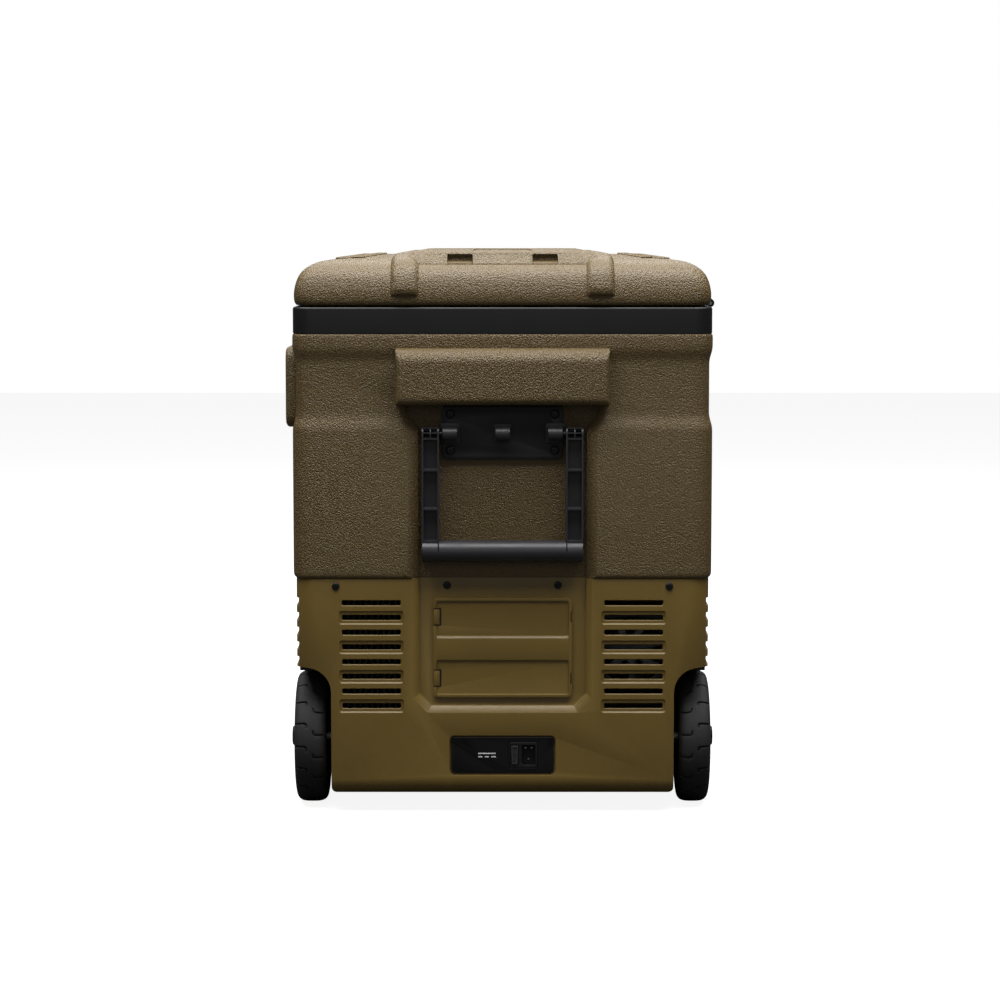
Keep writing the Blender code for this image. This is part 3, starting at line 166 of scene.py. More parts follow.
class TextureGroups:
    """Shared shader groups, each built the first time it is asked for."""

    @staticmethod
    def _start(name: str, inputs: Sequence[str],
               outputs: Sequence[str]) -> tuple[bpy.types.NodeTree, Wiring, Node, Node]:
        """Open a new group with a Vector input and the named number sockets."""
        group = bpy.data.node_groups.new(name, "ShaderNodeTree")
        group.interface.new_socket("Vector", in_out="INPUT", socket_type="NodeSocketVector")
        for socket in inputs:
            group.interface.new_socket(socket, in_out="INPUT", socket_type="NodeSocketFloat")
        for socket in outputs:
            group.interface.new_socket(socket, in_out="OUTPUT", socket_type="NodeSocketFloat")
        wiring = Wiring(group)
        return group, wiring, wiring.add("NodeGroupInput"), wiring.add("NodeGroupOutput")

    @classmethod
    def grain(cls, kind: Grain) -> bpy.types.NodeTree:
        """Give the group for a kind of grain.

        Args:
            kind: which grain.

        Returns:
            A node group with Height and Tone outputs.
        """
        name = f"{kind.value}_grain"
        if name in bpy.data.node_groups:
            return bpy.data.node_groups[name]
        group, wiring, start, end = cls._start(name, ("Scale",), ("Height", "Tone"))
        makers: dict[Grain, Callable[..., None]] = {
            Grain.PEBBLE: cls._pebble, Grain.SATIN: cls._satin,
            Grain.BRUSHED: cls._brushed, Grain.RUBBER: cls._satin}
        makers[kind](wiring, start, end)
        return group

    @staticmethod
    def _noise(wiring: Wiring, start: Node, factor: float, detail: float,
               vector: Socket | None = None) -> Node:
        """Add noise whose scale is a factor of the group's Scale."""
        node = wiring.add("ShaderNodeTexNoise", in_Detail=detail, in_Roughness=0.55)
        wiring.join(vector or start.outputs["Vector"], node.inputs["Vector"])
        wiring.join(wiring.math("MULTIPLY", start.outputs["Scale"], factor),
                    node.inputs["Scale"])
        return node

    @classmethod
    def _pebble(cls, wiring: Wiring, start: Node, end: Node) -> None:
        """Irregular moulded leather: rounded pebbles parted by fine creases."""
        bend = cls._noise(wiring, start, 0.45, 2.0)
        offset = wiring.add("ShaderNodeVectorMath", operation="SCALE", in_Scale=0.0022)
        wiring.join(bend.outputs["Color"], offset.inputs[0])
        moved = wiring.add("ShaderNodeVectorMath", operation="ADD")
        wiring.join(start.outputs["Vector"], moved.inputs[0])
        wiring.join(offset.outputs[0], moved.inputs[1])
        cells = wiring.add("ShaderNodeTexVoronoi", feature="SMOOTH_F1", in_Smoothness=0.35,
                           in_Randomness=1.0)
        wiring.join(moved.outputs[0], cells.inputs["Vector"])
        wiring.join(start.outputs["Scale"], cells.inputs["Scale"])
        fine = cls._noise(wiring, start, 1.9, 3.0)
        round_top = wiring.math("SUBTRACT", 1.0, cells.outputs["Distance"])
        ripple = wiring.math("MULTIPLY", fine.outputs["Fac"], 0.75)
        wiring.join(wiring.math("ADD", round_top, ripple), end.inputs["Height"])
        wiring.join(cells.outputs["Distance"], end.inputs["Tone"])

    @classmethod
    def _satin(cls, wiring: Wiring, start: Node, end: Node) -> None:
        """Fine spark-eroded mould texture with slow changes of tone."""
        fine = cls._noise(wiring, start, 1.0, 3.0)
        slow = cls._noise(wiring, start, 0.02, 2.0)
        wiring.join(fine.outputs["Fac"], end.inputs["Height"])
        wiring.join(slow.outputs["Fac"], end.inputs["Tone"])

    @classmethod
    def _brushed(cls, wiring: Wiring, start: Node, end: Node) -> None:
        """Fine lines drawn along Z."""
        stretch = wiring.add("ShaderNodeMapping")
        stretch.inputs["Scale"].default_value = (1.0, 1.0, 0.03)
        wiring.join(start.outputs["Vector"], stretch.inputs["Vector"])
        lines = cls._noise(wiring, start, 1.0, 4.0, stretch.outputs[0])
        wiring.join(lines.outputs["Fac"], end.inputs["Height"])
        wiring.join(lines.outputs["Fac"], end.inputs["Tone"])

    @classmethod
    def handling(cls) -> bpy.types.NodeTree:
        """Faint dust and rub marks, stronger on faces that look up.

        Returns:
            A node group with Vector and Amount inputs and a Mask output.
        """
        name = "dust_and_rub"
        if name in bpy.data.node_groups:
            return bpy.data.node_groups[name]
        group, wiring, start, end = cls._start(name, ("Amount",), ("Mask",))
        patches = wiring.add("ShaderNodeTexNoise", in_Scale=16.0, in_Detail=6.0,
                             in_Roughness=0.65)
        wiring.join(start.outputs["Vector"], patches.inputs["Vector"])
        ramp = wiring.add("ShaderNodeMapRange", in_From_Min=0.48, in_From_Max=0.78)
        wiring.join(patches.outputs["Fac"], ramp.inputs["Value"])
        facing = wiring.add("ShaderNodeNewGeometry")
        split = wiring.add("ShaderNodeSeparateXYZ")
        wiring.join(facing.outputs["Normal"], split.inputs[0])
        up = wiring.add("ShaderNodeMapRange", in_From_Min=-0.2, in_From_Max=1.0,
                        in_To_Min=0.35, in_To_Max=1.0)
        wiring.join(split.outputs["Z"], up.inputs["Value"])
        both = wiring.math("MULTIPLY", ramp.outputs[0], up.outputs[0])
        wiring.join(wiring.math("MULTIPLY", both, start.outputs["Amount"]), end.inputs["Mask"])
        return group


@dataclass(frozen=True)
class Finish:
    """One surface finish.

    Args:
        name: the material's name.
        colour: main colour, linear.
        shade: colour in the grain's hollows and slow patches.
        rough: lowest and highest roughness.
        grain: kind of grain.
        cells: grain features per metre.
        relief: height of the grain in metres.
        metallic: metallic value.
        coat: clear-coat weight.
        specular: specular level.
        dust: amount of dust and rub marks.
    """

    name: str
    colour: Point
    shade: Point
    rough: tuple[float, float]
    grain: Grain = Grain.SATIN
    cells: float = 2200.0
    relief: float = 0.00004
    metallic: float = 0.0
    coat: float = 0.0
    specular: float = 0.5
    dust: float = 0.25

    def material(self) -> bpy.types.Material:
        """Build the material, or give the one already built."""
        if self.name in bpy.data.materials:
            return bpy.data.materials[self.name]
        made = bpy.data.materials.new(self.name)
        made.use_nodes = True
        wiring = Wiring(made.node_tree)
        shader = made.node_tree.nodes["Principled BSDF"]
        shader.inputs["Metallic"].default_value = self.metallic
        shader.inputs["Coat Weight"].default_value = self.coat
        shader.inputs["Specular IOR Level"].default_value = self.specular
        place = wiring.add("ShaderNodeTexCoord").outputs["Object"]
        grain = wiring.add("ShaderNodeGroup", node_tree=TextureGroups.grain(self.grain))
        grain.inputs["Scale"].default_value = self.cells
        wiring.join(place, grain.inputs["Vector"])
        marks = wiring.add("ShaderNodeGroup", node_tree=TextureGroups.handling())
        marks.inputs["Amount"].default_value = self.dust
        wiring.join(place, marks.inputs["Vector"])
        tone = wiring.add("ShaderNodeMix", data_type="RGBA")
        tone.inputs["A"].default_value = (*self.colour, 1.0)
        tone.inputs["B"].default_value = (*self.shade, 1.0)
        wiring.join(grain.outputs["Tone"], tone.inputs["Factor"])
        worn = wiring.add("ShaderNodeMix", data_type="RGBA")
        pale = tuple(0.90 * channel + 0.015 for channel in self.colour)
        worn.inputs["B"].default_value = (*pale, 1.0)
        wiring.join(tone.outputs["Result"], worn.inputs["A"])
        wiring.join(marks.outputs["Mask"], worn.inputs["Factor"])
        wiring.join(worn.outputs["Result"], shader.inputs["Base Color"])
        gloss = wiring.add("ShaderNodeMapRange", in_From_Min=0.25, in_From_Max=0.75,
                           in_To_Min=self.rough[0], in_To_Max=self.rough[1])
        wiring.join(grain.outputs["Tone"], gloss.inputs["Value"])
        dulled = wiring.math("MULTIPLY", marks.outputs["Mask"], 0.25)
        wiring.join(wiring.math("ADD", gloss.outputs[0], dulled), shader.inputs["Roughness"])
        bump = wiring.add("ShaderNodeBump", in_Strength=1.0, in_Distance=self.relief)
        wiring.join(grain.outputs["Height"], bump.inputs["Height"])
        wiring.join(bump.outputs["Normal"], shader.inputs["Normal"])
        return made


GRAINED = Finish("grained_khaki_case", (0.140, 0.094, 0.034), (0.098, 0.064, 0.022), (0.29, 0.44),
                 Grain.PEBBLE, 660.0, 0.00075, dust=0.12)
SMOOTH = Finish("smooth_khaki_case", (0.186, 0.122, 0.027), (0.156, 0.100, 0.021), (0.32, 0.42),
                Grain.SATIN, 1500.0, 0.00016, dust=0.12)
BLACK = Finish("black_satin_moulding", (0.0095, 0.0093, 0.0100), (0.0070, 0.0070, 0.0075),
               (0.38, 0.50), Grain.SATIN, 1800.0, 0.00006, specular=0.35, dust=0.10)
HANDLE = Finish("handle_black_moulding", (0.026, 0.025, 0.028), (0.020, 0.019, 0.022),
                (0.34, 0.46), Grain.SATIN, 1600.0, 0.00005, dust=0.15)
GLOSS = Finish("gloss_black_panel", (0.004, 0.004, 0.0045), (0.003, 0.003, 0.003),
               (0.06, 0.12), Grain.SATIN, 900.0, 0.000004, dust=0.05)
TYRE = Finish("tyre_rubber", (0.010, 0.010, 0.011), (0.007, 0.007, 0.008), (0.46, 0.62),
              Grain.RUBBER, 900.0, 0.00006, specular=0.35, dust=0.30)
SEAL = Finish("seal_rubber", (0.022, 0.022, 0.023), (0.016, 0.016, 0.017), (0.60, 0.78),
              Grain.RUBBER, 1200.0, 0.00005)
ZINC = Finish("zinc_steel", (0.56, 0.56, 0.57), (0.44, 0.44, 0.46), (0.22, 0.36),
              Grain.BRUSHED, 1400.0, 0.00002, metallic=1.0)
DARK_ZINC = Finish("blackened_screws", (0.030, 0.030, 0.031), (0.020, 0.020, 0.021),
                   (0.32, 0.46), Grain.SATIN, 2400.0, 0.00002, metallic=0.7)
ALLOY = Finish("brushed_alloy_tube", (0.58, 0.58, 0.59), (0.46, 0.46, 0.48), (0.24, 0.38),
               Grain.BRUSHED, 1600.0, 0.00002, metallic=1.0)
LINER = Finish("white_liner_plastic", (0.62, 0.62, 0.60), (0.56, 0.56, 0.54), (0.30, 0.42),
               Grain.SATIN, 700.0, 0.00003, dust=0.10)
GREY = Finish("grey_moulding", (0.075, 0.077, 0.082), (0.060, 0.062, 0.066), (0.42, 0.54),
              Grain.SATIN, 1700.0, 0.00005)
PAINT = Finish("black_enamel_can", (0.018, 0.018, 0.019), (0.012, 0.012, 0.013), (0.25, 0.38),
               Grain.SATIN, 300.0, 0.00003, metallic=0.2, coat=0.3)
FINS = Finish("dark_coil_fins", (0.030, 0.027, 0.024), (0.018, 0.016, 0.014), (0.45, 0.60),
              Grain.SATIN, 900.0, 0.00003, metallic=0.3)
FOAM = Finish("cut_foam", (0.70, 0.64, 0.42), (0.60, 0.54, 0.34), (0.80, 0.95),
              Grain.PEBBLE, 700.0, 0.00030)
BOARD = Finish("circuit_board_lacquer", (0.020, 0.120, 0.050), (0.012, 0.080, 0.034),
               (0.25, 0.40), Grain.SATIN, 600.0, 0.00004)
MARKING = Finish("white_marking", (0.80, 0.80, 0.80), (0.74, 0.74, 0.74), (0.45, 0.55),
                 Grain.SATIN, 2000.0, 0.00001, dust=0.05)
LENS = Finish("lamp_lens", (0.82, 0.84, 0.88), (0.74, 0.76, 0.80), (0.14, 0.22),
              Grain.SATIN, 900.0, 0.00001, coat=0.4, dust=0.05)


# ================================================================ outlines
def rounded(low: Flat, high: Flat, radius: float, steps: int = ARC) -> list[Flat]:
    """Rectangle with rounded corners.

    Args:
        low: lower corner.
        high: upper corner.
        radius: corner radius.
        steps: segments in each corner.

    Returns:
        Points in order round the outline.
    """
    points: list[Flat] = []
    corners = ((high[0] - radius, high[1] - radius), (low[0] + radius, high[1] - radius),
               (low[0] + radius, low[1] + radius), (high[0] - radius, low[1] + radius))
    for quarter, (u, v) in enumerate(corners):
        for step in range(steps + 1):
            turn = math.radians(90 * (quarter + step / steps))
            points.append((u + radius * math.cos(turn), v + radius * math.sin(turn)))
    return points


def centred(half_u: float, half_v: float, radius: float, steps: int = ARC) -> list[Flat]:
    """Rounded rectangle about zero."""
    return rounded((-half_u, -half_v), (half_u, half_v), radius, steps)


def circle(radius: float, u: float = 0.0, v: float = 0.0, count: int = 32) -> list[Flat]:
    """Round outline about (u, v)."""
    return [(u + radius * math.cos(math.tau * i / count),
             v + radius * math.sin(math.tau * i / count)) for i in range(count)]


def face_of(low: Sequence[float], high: Sequence[float], axis: str, grow: float, radius: float,
           steps: int = ARC) -> list[Flat]:
    """Rounded outline of a box seen along an axis.

    Args:
        low: the box's lower corner.
        high: its upper corner.
        axis: x, y or z.
        grow: how far the outline stands out from the box.
        radius: corner radius.
        steps: segments in each corner.

    Returns:
        Points in order round the outline.
    """
    u, v = {"x": (1, 2), "y": (0, 2), "z": (0, 1)}[axis]
    return rounded((low[u] - grow, low[v] - grow), (high[u] + grow, high[v] + grow), radius, steps)


def on(outline: Iterable[Flat], axis: str, place: float) -> list[Point]:
    """Put flat points on the plane across an axis.

    Args:
        outline: the flat points.
        axis: x, y or z.
        place: position along the axis.

    Returns:
        Points in space.
    """
    spread: dict[str, Callable[[float, float], Point]] = {
        "x": lambda u, v: (place, u, v), "y": lambda u, v: (u, place, v),
        "z": lambda u, v: (u, v, place)}
    return [spread[axis](u, v) for u, v in outline]


def eased(corners: Sequence[Flat], reach: float, steps: int = 4) -> list[Flat]:
    """Round the inner corners of an open line with short curves.

    Args:
        corners: points of the line.
        reach: how far each curve starts from its corner, at most.
        steps: segments in each curve.

    Returns:
        Points of the eased line.
    """
    line = [corners[0]]
    for before, corner, after in zip(corners, corners[1:], corners[2:]):
        back = Vector(before) - Vector(corner)
        ahead = Vector(after) - Vector(corner)
        start = Vector(corner) + back.normalized() * min(reach, back.length * 0.45)
        stop = Vector(corner) + ahead.normalized() * min(reach, ahead.length * 0.45)
        for step in range(steps + 1):
            t = step / steps
            spot = start.lerp(Vector(corner), t).lerp(Vector(corner).lerp(stop, t), t)
            line.append((spot.x, spot.y))
    line.append(corners[-1])
    return line


def offset_line(line: Sequence[Flat], distance: float) -> list[Flat]:
    """Move an open line sideways, to the left of its direction."""
    moved: list[Flat] = []
    for i, point in enumerate(line):
        run = Vector(line[min(i + 1, len(line) - 1)]) - Vector(line[max(i - 1, 0)])
        run.normalize()
        moved.append((point[0] - run.y * distance, point[1] + run.x * distance))
    return moved


# ================================================================ bench
class Bench:
    """Modelling moves made with Blender's operators."""

    @staticmethod
    def clear() -> None:
        """Leave edit mode and deselect everything."""
        if bpy.context.object and bpy.context.object.mode != "OBJECT":
            bpy.ops.object.mode_set(mode="OBJECT")
        bpy.ops.object.select_all(action="DESELECT")

    @classmethod
    def take(cls, piece: Piece) -> Piece:
        """Select one piece and make it active."""
        cls.clear()
        piece.select_set(True)
        bpy.context.view_layer.objects.active = piece
        return piece

    @classmethod
    def skin(cls, name: str, rings: Sequence[Sequence[Point]]) -> Piece:
        """Extrude a filled outline ring by ring into a closed solid.

        Args:
            name: the piece's name.
            rings: outlines in space with equal numbers of points.

        Returns:
            The new piece.
        """
        cls.clear()
        bpy.ops.mesh.primitive_circle_add(vertices=len(rings[0]), fill_type="NGON")
        piece = bpy.context.object
        piece.name = name
        for vertex, spot in zip(piece.data.vertices, rings[0]):
            vertex.co = spot
        bpy.ops.object.mode_set(mode="EDIT")
        bpy.ops.mesh.select_mode(type="FACE")
        bpy.ops.mesh.select_all(action="SELECT")
        for last, ring in zip(rings, rings[1:]):
            shift = Vector(ring[0]) - Vector(last[0])
            bpy.ops.mesh.extrude_region_move(TRANSFORM_OT_translate={"value": shift})
            shape = bmesh.from_edit_mesh(piece.data)
            cap = next(face for face in shape.faces if face.select)
            loop = [vertex for vertex in cap.verts]
            first = min(range(len(loop)), key=lambda i: (loop[i].co - Vector(ring[0])).length)
            second = Vector(last[1]) + shift
            ahead = loop[(first + 1) % len(loop)].co - second
            behind = loop[first - 1].co - second
            way = 1 if ahead.length < behind.length else -1
            for i, spot in enumerate(ring):
                loop[(first + way * i) % len(loop)].co = spot
            bmesh.update_edit_mesh(piece.data)
        bpy.ops.mesh.select_all(action="SELECT")
        bpy.ops.mesh.normals_make_consistent(inside=False)
        bpy.ops.object.mode_set(mode="OBJECT")
        return piece

    @classmethod
    def slab(cls, name: str, outline: Sequence[Flat], axis: str, start: float,
             stop: float) -> Piece:
        """Extrude a flat outline between two places on an axis."""
        return cls.skin(name, [on(outline, axis, start), on(outline, axis, stop)])

    @classmethod
    def turned(cls, name: str, radius: float, levels: Iterable[Flat], axis: str, middle: Flat,
               count: int) -> Piece:
        """Solid of round sections.

        Args:
            name: the piece's name.
            radius: full radius.
            levels: (place, share of the radius) along the axis.
            axis: x, y or z.
            middle: centre of the sections.
            count: points round each section.

        Returns:
            The new piece.
        """
        return cls.skin(name, [on(circle(radius * share, *middle, count), axis, place)
                               for place, share in levels])

    @classmethod
    def block(cls, name: str, low: Sequence[float], high: Sequence[float],
              edge: float = 0.0, segments: int = 2) -> Piece:
        """Add a cube between two corners and bevel its edges.

        Args:
            name: the piece's name.
            low: lower corner.
            high: upper corner.
            edge: bevel width.
            segments: bevel segments.

        Returns:
            The new piece.
        """
        cls.clear()
        middle = [(a + b) / 2 for a, b in zip(low, high)]
        bpy.ops.mesh.primitive_cube_add(size=1.0, location=middle)
        piece = bpy.context.object
        piece.name = name
        piece.scale = [abs(b - a) for a, b in zip(low, high)]
        bpy.ops.object.transform_apply(location=True, rotation=False, scale=True)
        if edge:
            bpy.ops.object.mode_set(mode="EDIT")
            bpy.ops.mesh.select_all(action="SELECT")
            bpy.ops.mesh.bevel(offset=edge, segments=segments, affect="EDGES")
            bpy.ops.object.mode_set(mode="OBJECT")
        return piece

    @classmethod
    def spun(cls, name: str, profile: Sequence[Flat], axis: str, centre: Point,
             steps: int = 48) -> Piece:
        """Spin a closed profile of (radius, height) points about an axis.

        Args:
            name: the piece's name.
            profile: closed profile, clear of the axis.
            axis: x, y or z.
            centre: a point on the axis; heights count from it.
            steps: segments round the axis.

        Returns:
            The new piece.
        """
        cls.clear()
        bpy.ops.mesh.primitive_circle_add(vertices=len(profile), fill_type="NOTHING")
        piece = bpy.context.object
        piece.name = name
        around = {"x": (1, 0, 0), "y": (0, 1, 0), "z": (0, 0, 1)}[axis]
        for vertex, (radius, height) in zip(piece.data.vertices, profile):
            if axis == "z":
                spot = Vector((radius, 0.0, height))
            elif axis == "x":
                spot = Vector((height, 0.0, radius))
            else:
                spot = Vector((radius, height, 0.0))
            vertex.co = spot + Vector(centre)
        bpy.ops.object.mode_set(mode="EDIT")
        bpy.ops.mesh.select_all(action="SELECT")
        bpy.ops.mesh.spin(steps=steps, angle=math.tau, center=centre, axis=around)
        bpy.ops.mesh.select_all(action="SELECT")
        bpy.ops.mesh.remove_doubles(threshold=MERGE)
        bpy.ops.mesh.normals_make_consistent(inside=False)
        bpy.ops.object.mode_set(mode="OBJECT")
        return piece

    @classmethod
    def boolean(cls, piece: Piece, kind: str, *tools: Piece) -> None:
        """Apply tools to a piece and throw them away.

        Args:
            piece: the piece that changes.
            kind: DIFFERENCE or UNION.
            tools: the cutters or the pieces to join.
        """
        for tool in tools:
            cls.take(piece)
            step = piece.modifiers.new("work", "BOOLEAN")
            step.operation = kind
            step.solver = "EXACT"
            step.object = tool
            bpy.ops.object.modifier_apply(modifier=step.name)
            bpy.data.objects.remove(tool, do_unlink=True)

    @classmethod
    def cut(cls, piece: Piece, *tools: Piece) -> None:
        """Cut tools out of a piece."""
        cls.boolean(piece, "DIFFERENCE", *tools)

    @classmethod
    def join(cls, name: str, pieces: Sequence[Piece]) -> Piece:
        """Join loose pieces into one object."""
        cls.clear()
        for piece in pieces:
            piece.select_set(True)
        bpy.context.view_layer.objects.active = pieces[0]
        if len(pieces) > 1:
            bpy.ops.object.join()
        joined = bpy.context.object
        joined.name = name
        return joined

    @classmethod
    def bevel(cls, piece: Piece, width: float, segments: int = 3,
              degrees: float = 28.0) -> None:
        """Round the edges that are sharper than an angle."""
        cls.take(piece)
        step = piece.modifiers.new("edge", "BEVEL")
        step.width = width
        step.segments = segments
        step.limit_method = "ANGLE"
        step.angle_limit = math.radians(degrees)
        step.miter_outer = "MITER_ARC"
        bpy.ops.object.modifier_apply(modifier=step.name)

    @classmethod
    def copy(cls, piece: Piece, name: str, shift: Point) -> Piece:
        """Copy a piece with its own mesh, moved in its mesh."""
        cls.take(piece)
        bpy.ops.object.duplicate(linked=False)
        twin = bpy.context.object
        twin.name = name
        bpy.ops.transform.translate(value=shift)
        bpy.ops.object.transform_apply(location=True, rotation=False, scale=False)
        return twin

    @classmethod
    def mirrored(cls, piece: Piece, name: str, axis: int = 0) -> Piece:
        """Copy a piece to the other side of the middle plane across an axis."""
        cls.take(piece)
        bpy.ops.object.duplicate(linked=False)
        twin = bpy.context.object
        twin.name = name
        flip = [1.0, 1.0, 1.0]
        flip[axis] = -1.0
        twin.scale = flip
        bpy.ops.object.transform_apply(location=False, rotation=False, scale=True)
        bpy.ops.object.mode_set(mode="EDIT")
        bpy.ops.mesh.select_all(action="SELECT")
        bpy.ops.mesh.normals_make_consistent(inside=False)
        bpy.ops.object.mode_set(mode="OBJECT")
        return twin

    @classmethod
    def softened(cls, node: str, width: float, segments: int = 3,
                 degrees: float = 28.0) -> Piece:
        """Merged copy of a frame node with its edges rounded.

        Args:
            node: the frame node.
            width: bevel width.
            segments: bevel segments.
            degrees: edges sharper than this are rounded.

        Returns:
            The new piece, named after the node.
        """
        cls.take(FRAME["nodes"][node])
        bpy.ops.object.duplicate(linked=False)
        piece = bpy.context.object
        piece.name = f"{node}_moulding"
        bpy.ops.object.mode_set(mode="EDIT")
        bpy.ops.mesh.select_all(action="SELECT")
        bpy.ops.mesh.remove_doubles(threshold=MERGE)
        bpy.ops.mesh.dissolve_limited(angle_limit=math.radians(0.6))
        bpy.ops.object.mode_set(mode="OBJECT")
        cls.bevel(piece, width, segments, degrees)
        return piece


FRAME: dict = {}


@dataclass
class Assembly:
    """A sub-assembly that rides on one body of the frame.

    Args:
        body: the body its pieces ride on.
    """

    body: str = "cabinet"

    def fit(self, piece: Piece, finish: Finish, slot: str,
            replaces: Sequence[str] = (), body: str | None = None,
            smooth: float = 32.0) -> Piece:
        """Dress a piece, ride it on its body and report it.

        Args:
            piece: the finished mesh.
            finish: its finish.
            slot: the record's material slot; not used.
            replaces: frame nodes that it stands for.
            body: another body than the assembly's own.
            smooth: faces that meet at less than this angle are shaded smooth.

        Returns:
            The piece.
        """
        Bench.take(piece)
        bpy.ops.object.shade_smooth_by_angle(angle=math.radians(smooth))
        piece.data.materials.clear()
        piece.data.materials.append(finish.material())
        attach(piece, body or self.body)
        for node in replaces:
            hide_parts(node)
        LOG.info("%s rides on %s, %d faces", piece.name, body or self.body,
                 len(piece.data.polygons))
        return piece

    def soften(self, node: str, finish: Finish, slot: str, width: float, segments: int = 2,
               degrees: float = 40.0, body: str | None = None, smooth: float = 32.0) -> None:
        """Fit a frame node's own shape with its edges rounded.

        Args:
            node: the frame node.
            finish: its finish.
            slot: the record's material slot.
            width: bevel width.
            segments: bevel segments.
            degrees: edges sharper than this are rounded.
            body: another body than the assembly's own.
            smooth: faces that meet at less than this angle are shaded smooth.
        """
        piece = Bench.softened(node, width, segments, degrees)
        self.fit(piece, finish, slot, [node], body, smooth)

    def dress(self, node: str, finish: Finish) -> None:
        """Give a frame node a better material."""
        thing = FRAME["nodes"][node]
        thing.data.materials.clear()
        thing.data.materials.append(finish.material())
        LOG.info("%s keeps its frame shape", node)


@dataclass
class Screws(Assembly):
    """Cross-recess screws, modelled once and copied."""

    head: float = 0.0037
    height: float = 0.0016
    recess: float = 0.0026
    blade: float = 0.0009

    def master(self) -> Piece:
        """Model one screw at the origin with its head towards -Y."""
        levels = [(-self.height * rise, share) for rise, share in
                  ((-0.8, 1.0), (0.35, 1.0), (0.7, 0.93), (0.92, 0.75), (1.0, 0.45))]
        screw = Bench.turned("screw", self.head, levels, "y", (0.0, 0.0), 24)
        reach, half = self.recess, self.blade / 2
        for long_x in (True, False):
            size = (reach, half) if long_x else (half, reach)
            Bench.cut(screw, Bench.block("cross", (-size[0], -self.height - PAST, -size[1]),
                                         (size[0], -self.height * 0.25, size[1])))
        return screw

    def build(self, name: str, places: Sequence[Point]) -> None:
        """Set screws at places on the wheel-end wall.

        Args:
            name: start of each screw's name.
            places: the seats' centres.
        """
        master = self.master()
        copies = [Bench.copy(master, f"{name}_{i}", place) for i, place in enumerate(places)]
        bpy.data.objects.remove(master, do_unlink=True)
        for screw in copies:
            self.fit(screw, DARK_ZINC, Slot.STEEL, smooth=40.0)


# ================================================================ case
@dataclass
class Niche:
    """Recess in an end wall; side is -1 at the wheels and 1 at the pull handle."""

    side: int
    end: float
    foot: float
    top: float = 0.395
    depth: float = 0.012
    half: float = 0.080
    slope: float = 0.0100
    corner: float = 0.012
    mouth_corner: float = 0.0150
    ledge: float = 0.50
    flare: float = 0.0125
    shoulder: float = 0.381

    def cutter(self, grow: float = 0.0) -> Piece:
        """Solid that cuts the niche, grown by a wall when asked."""
        rings = []
        ledge = -self.depth * self.ledge
        for out, spread in ((0.022, 1.0), (0.0, 1.0), (ledge - grow * 0.5, 0.0),
                            (-self.depth - grow, 0.0)):
            half = self.half + self.slope * spread + grow
            low = self.foot + 0.011 * (1 - spread) - grow
            shoulder = self.shoulder + 0.0035 * (1 - spread)
            corner = self.corner + (self.mouth_corner - self.corner) * spread
            outline = [(-half, low + corner), (-half + corner, low),
                       (half - corner, low), (half, low + corner),
                       (half, shoulder - 0.015), (half + self.flare, shoulder),
                       (half + self.flare, self.top + grow), (-half - self.flare, self.top + grow),
                       (-half - self.flare, shoulder), (-half, shoulder - 0.015)]
            rings.append(on(outline, "y", self.side * (self.end + out)))
        return Bench.skin("niche_cutter", rings)


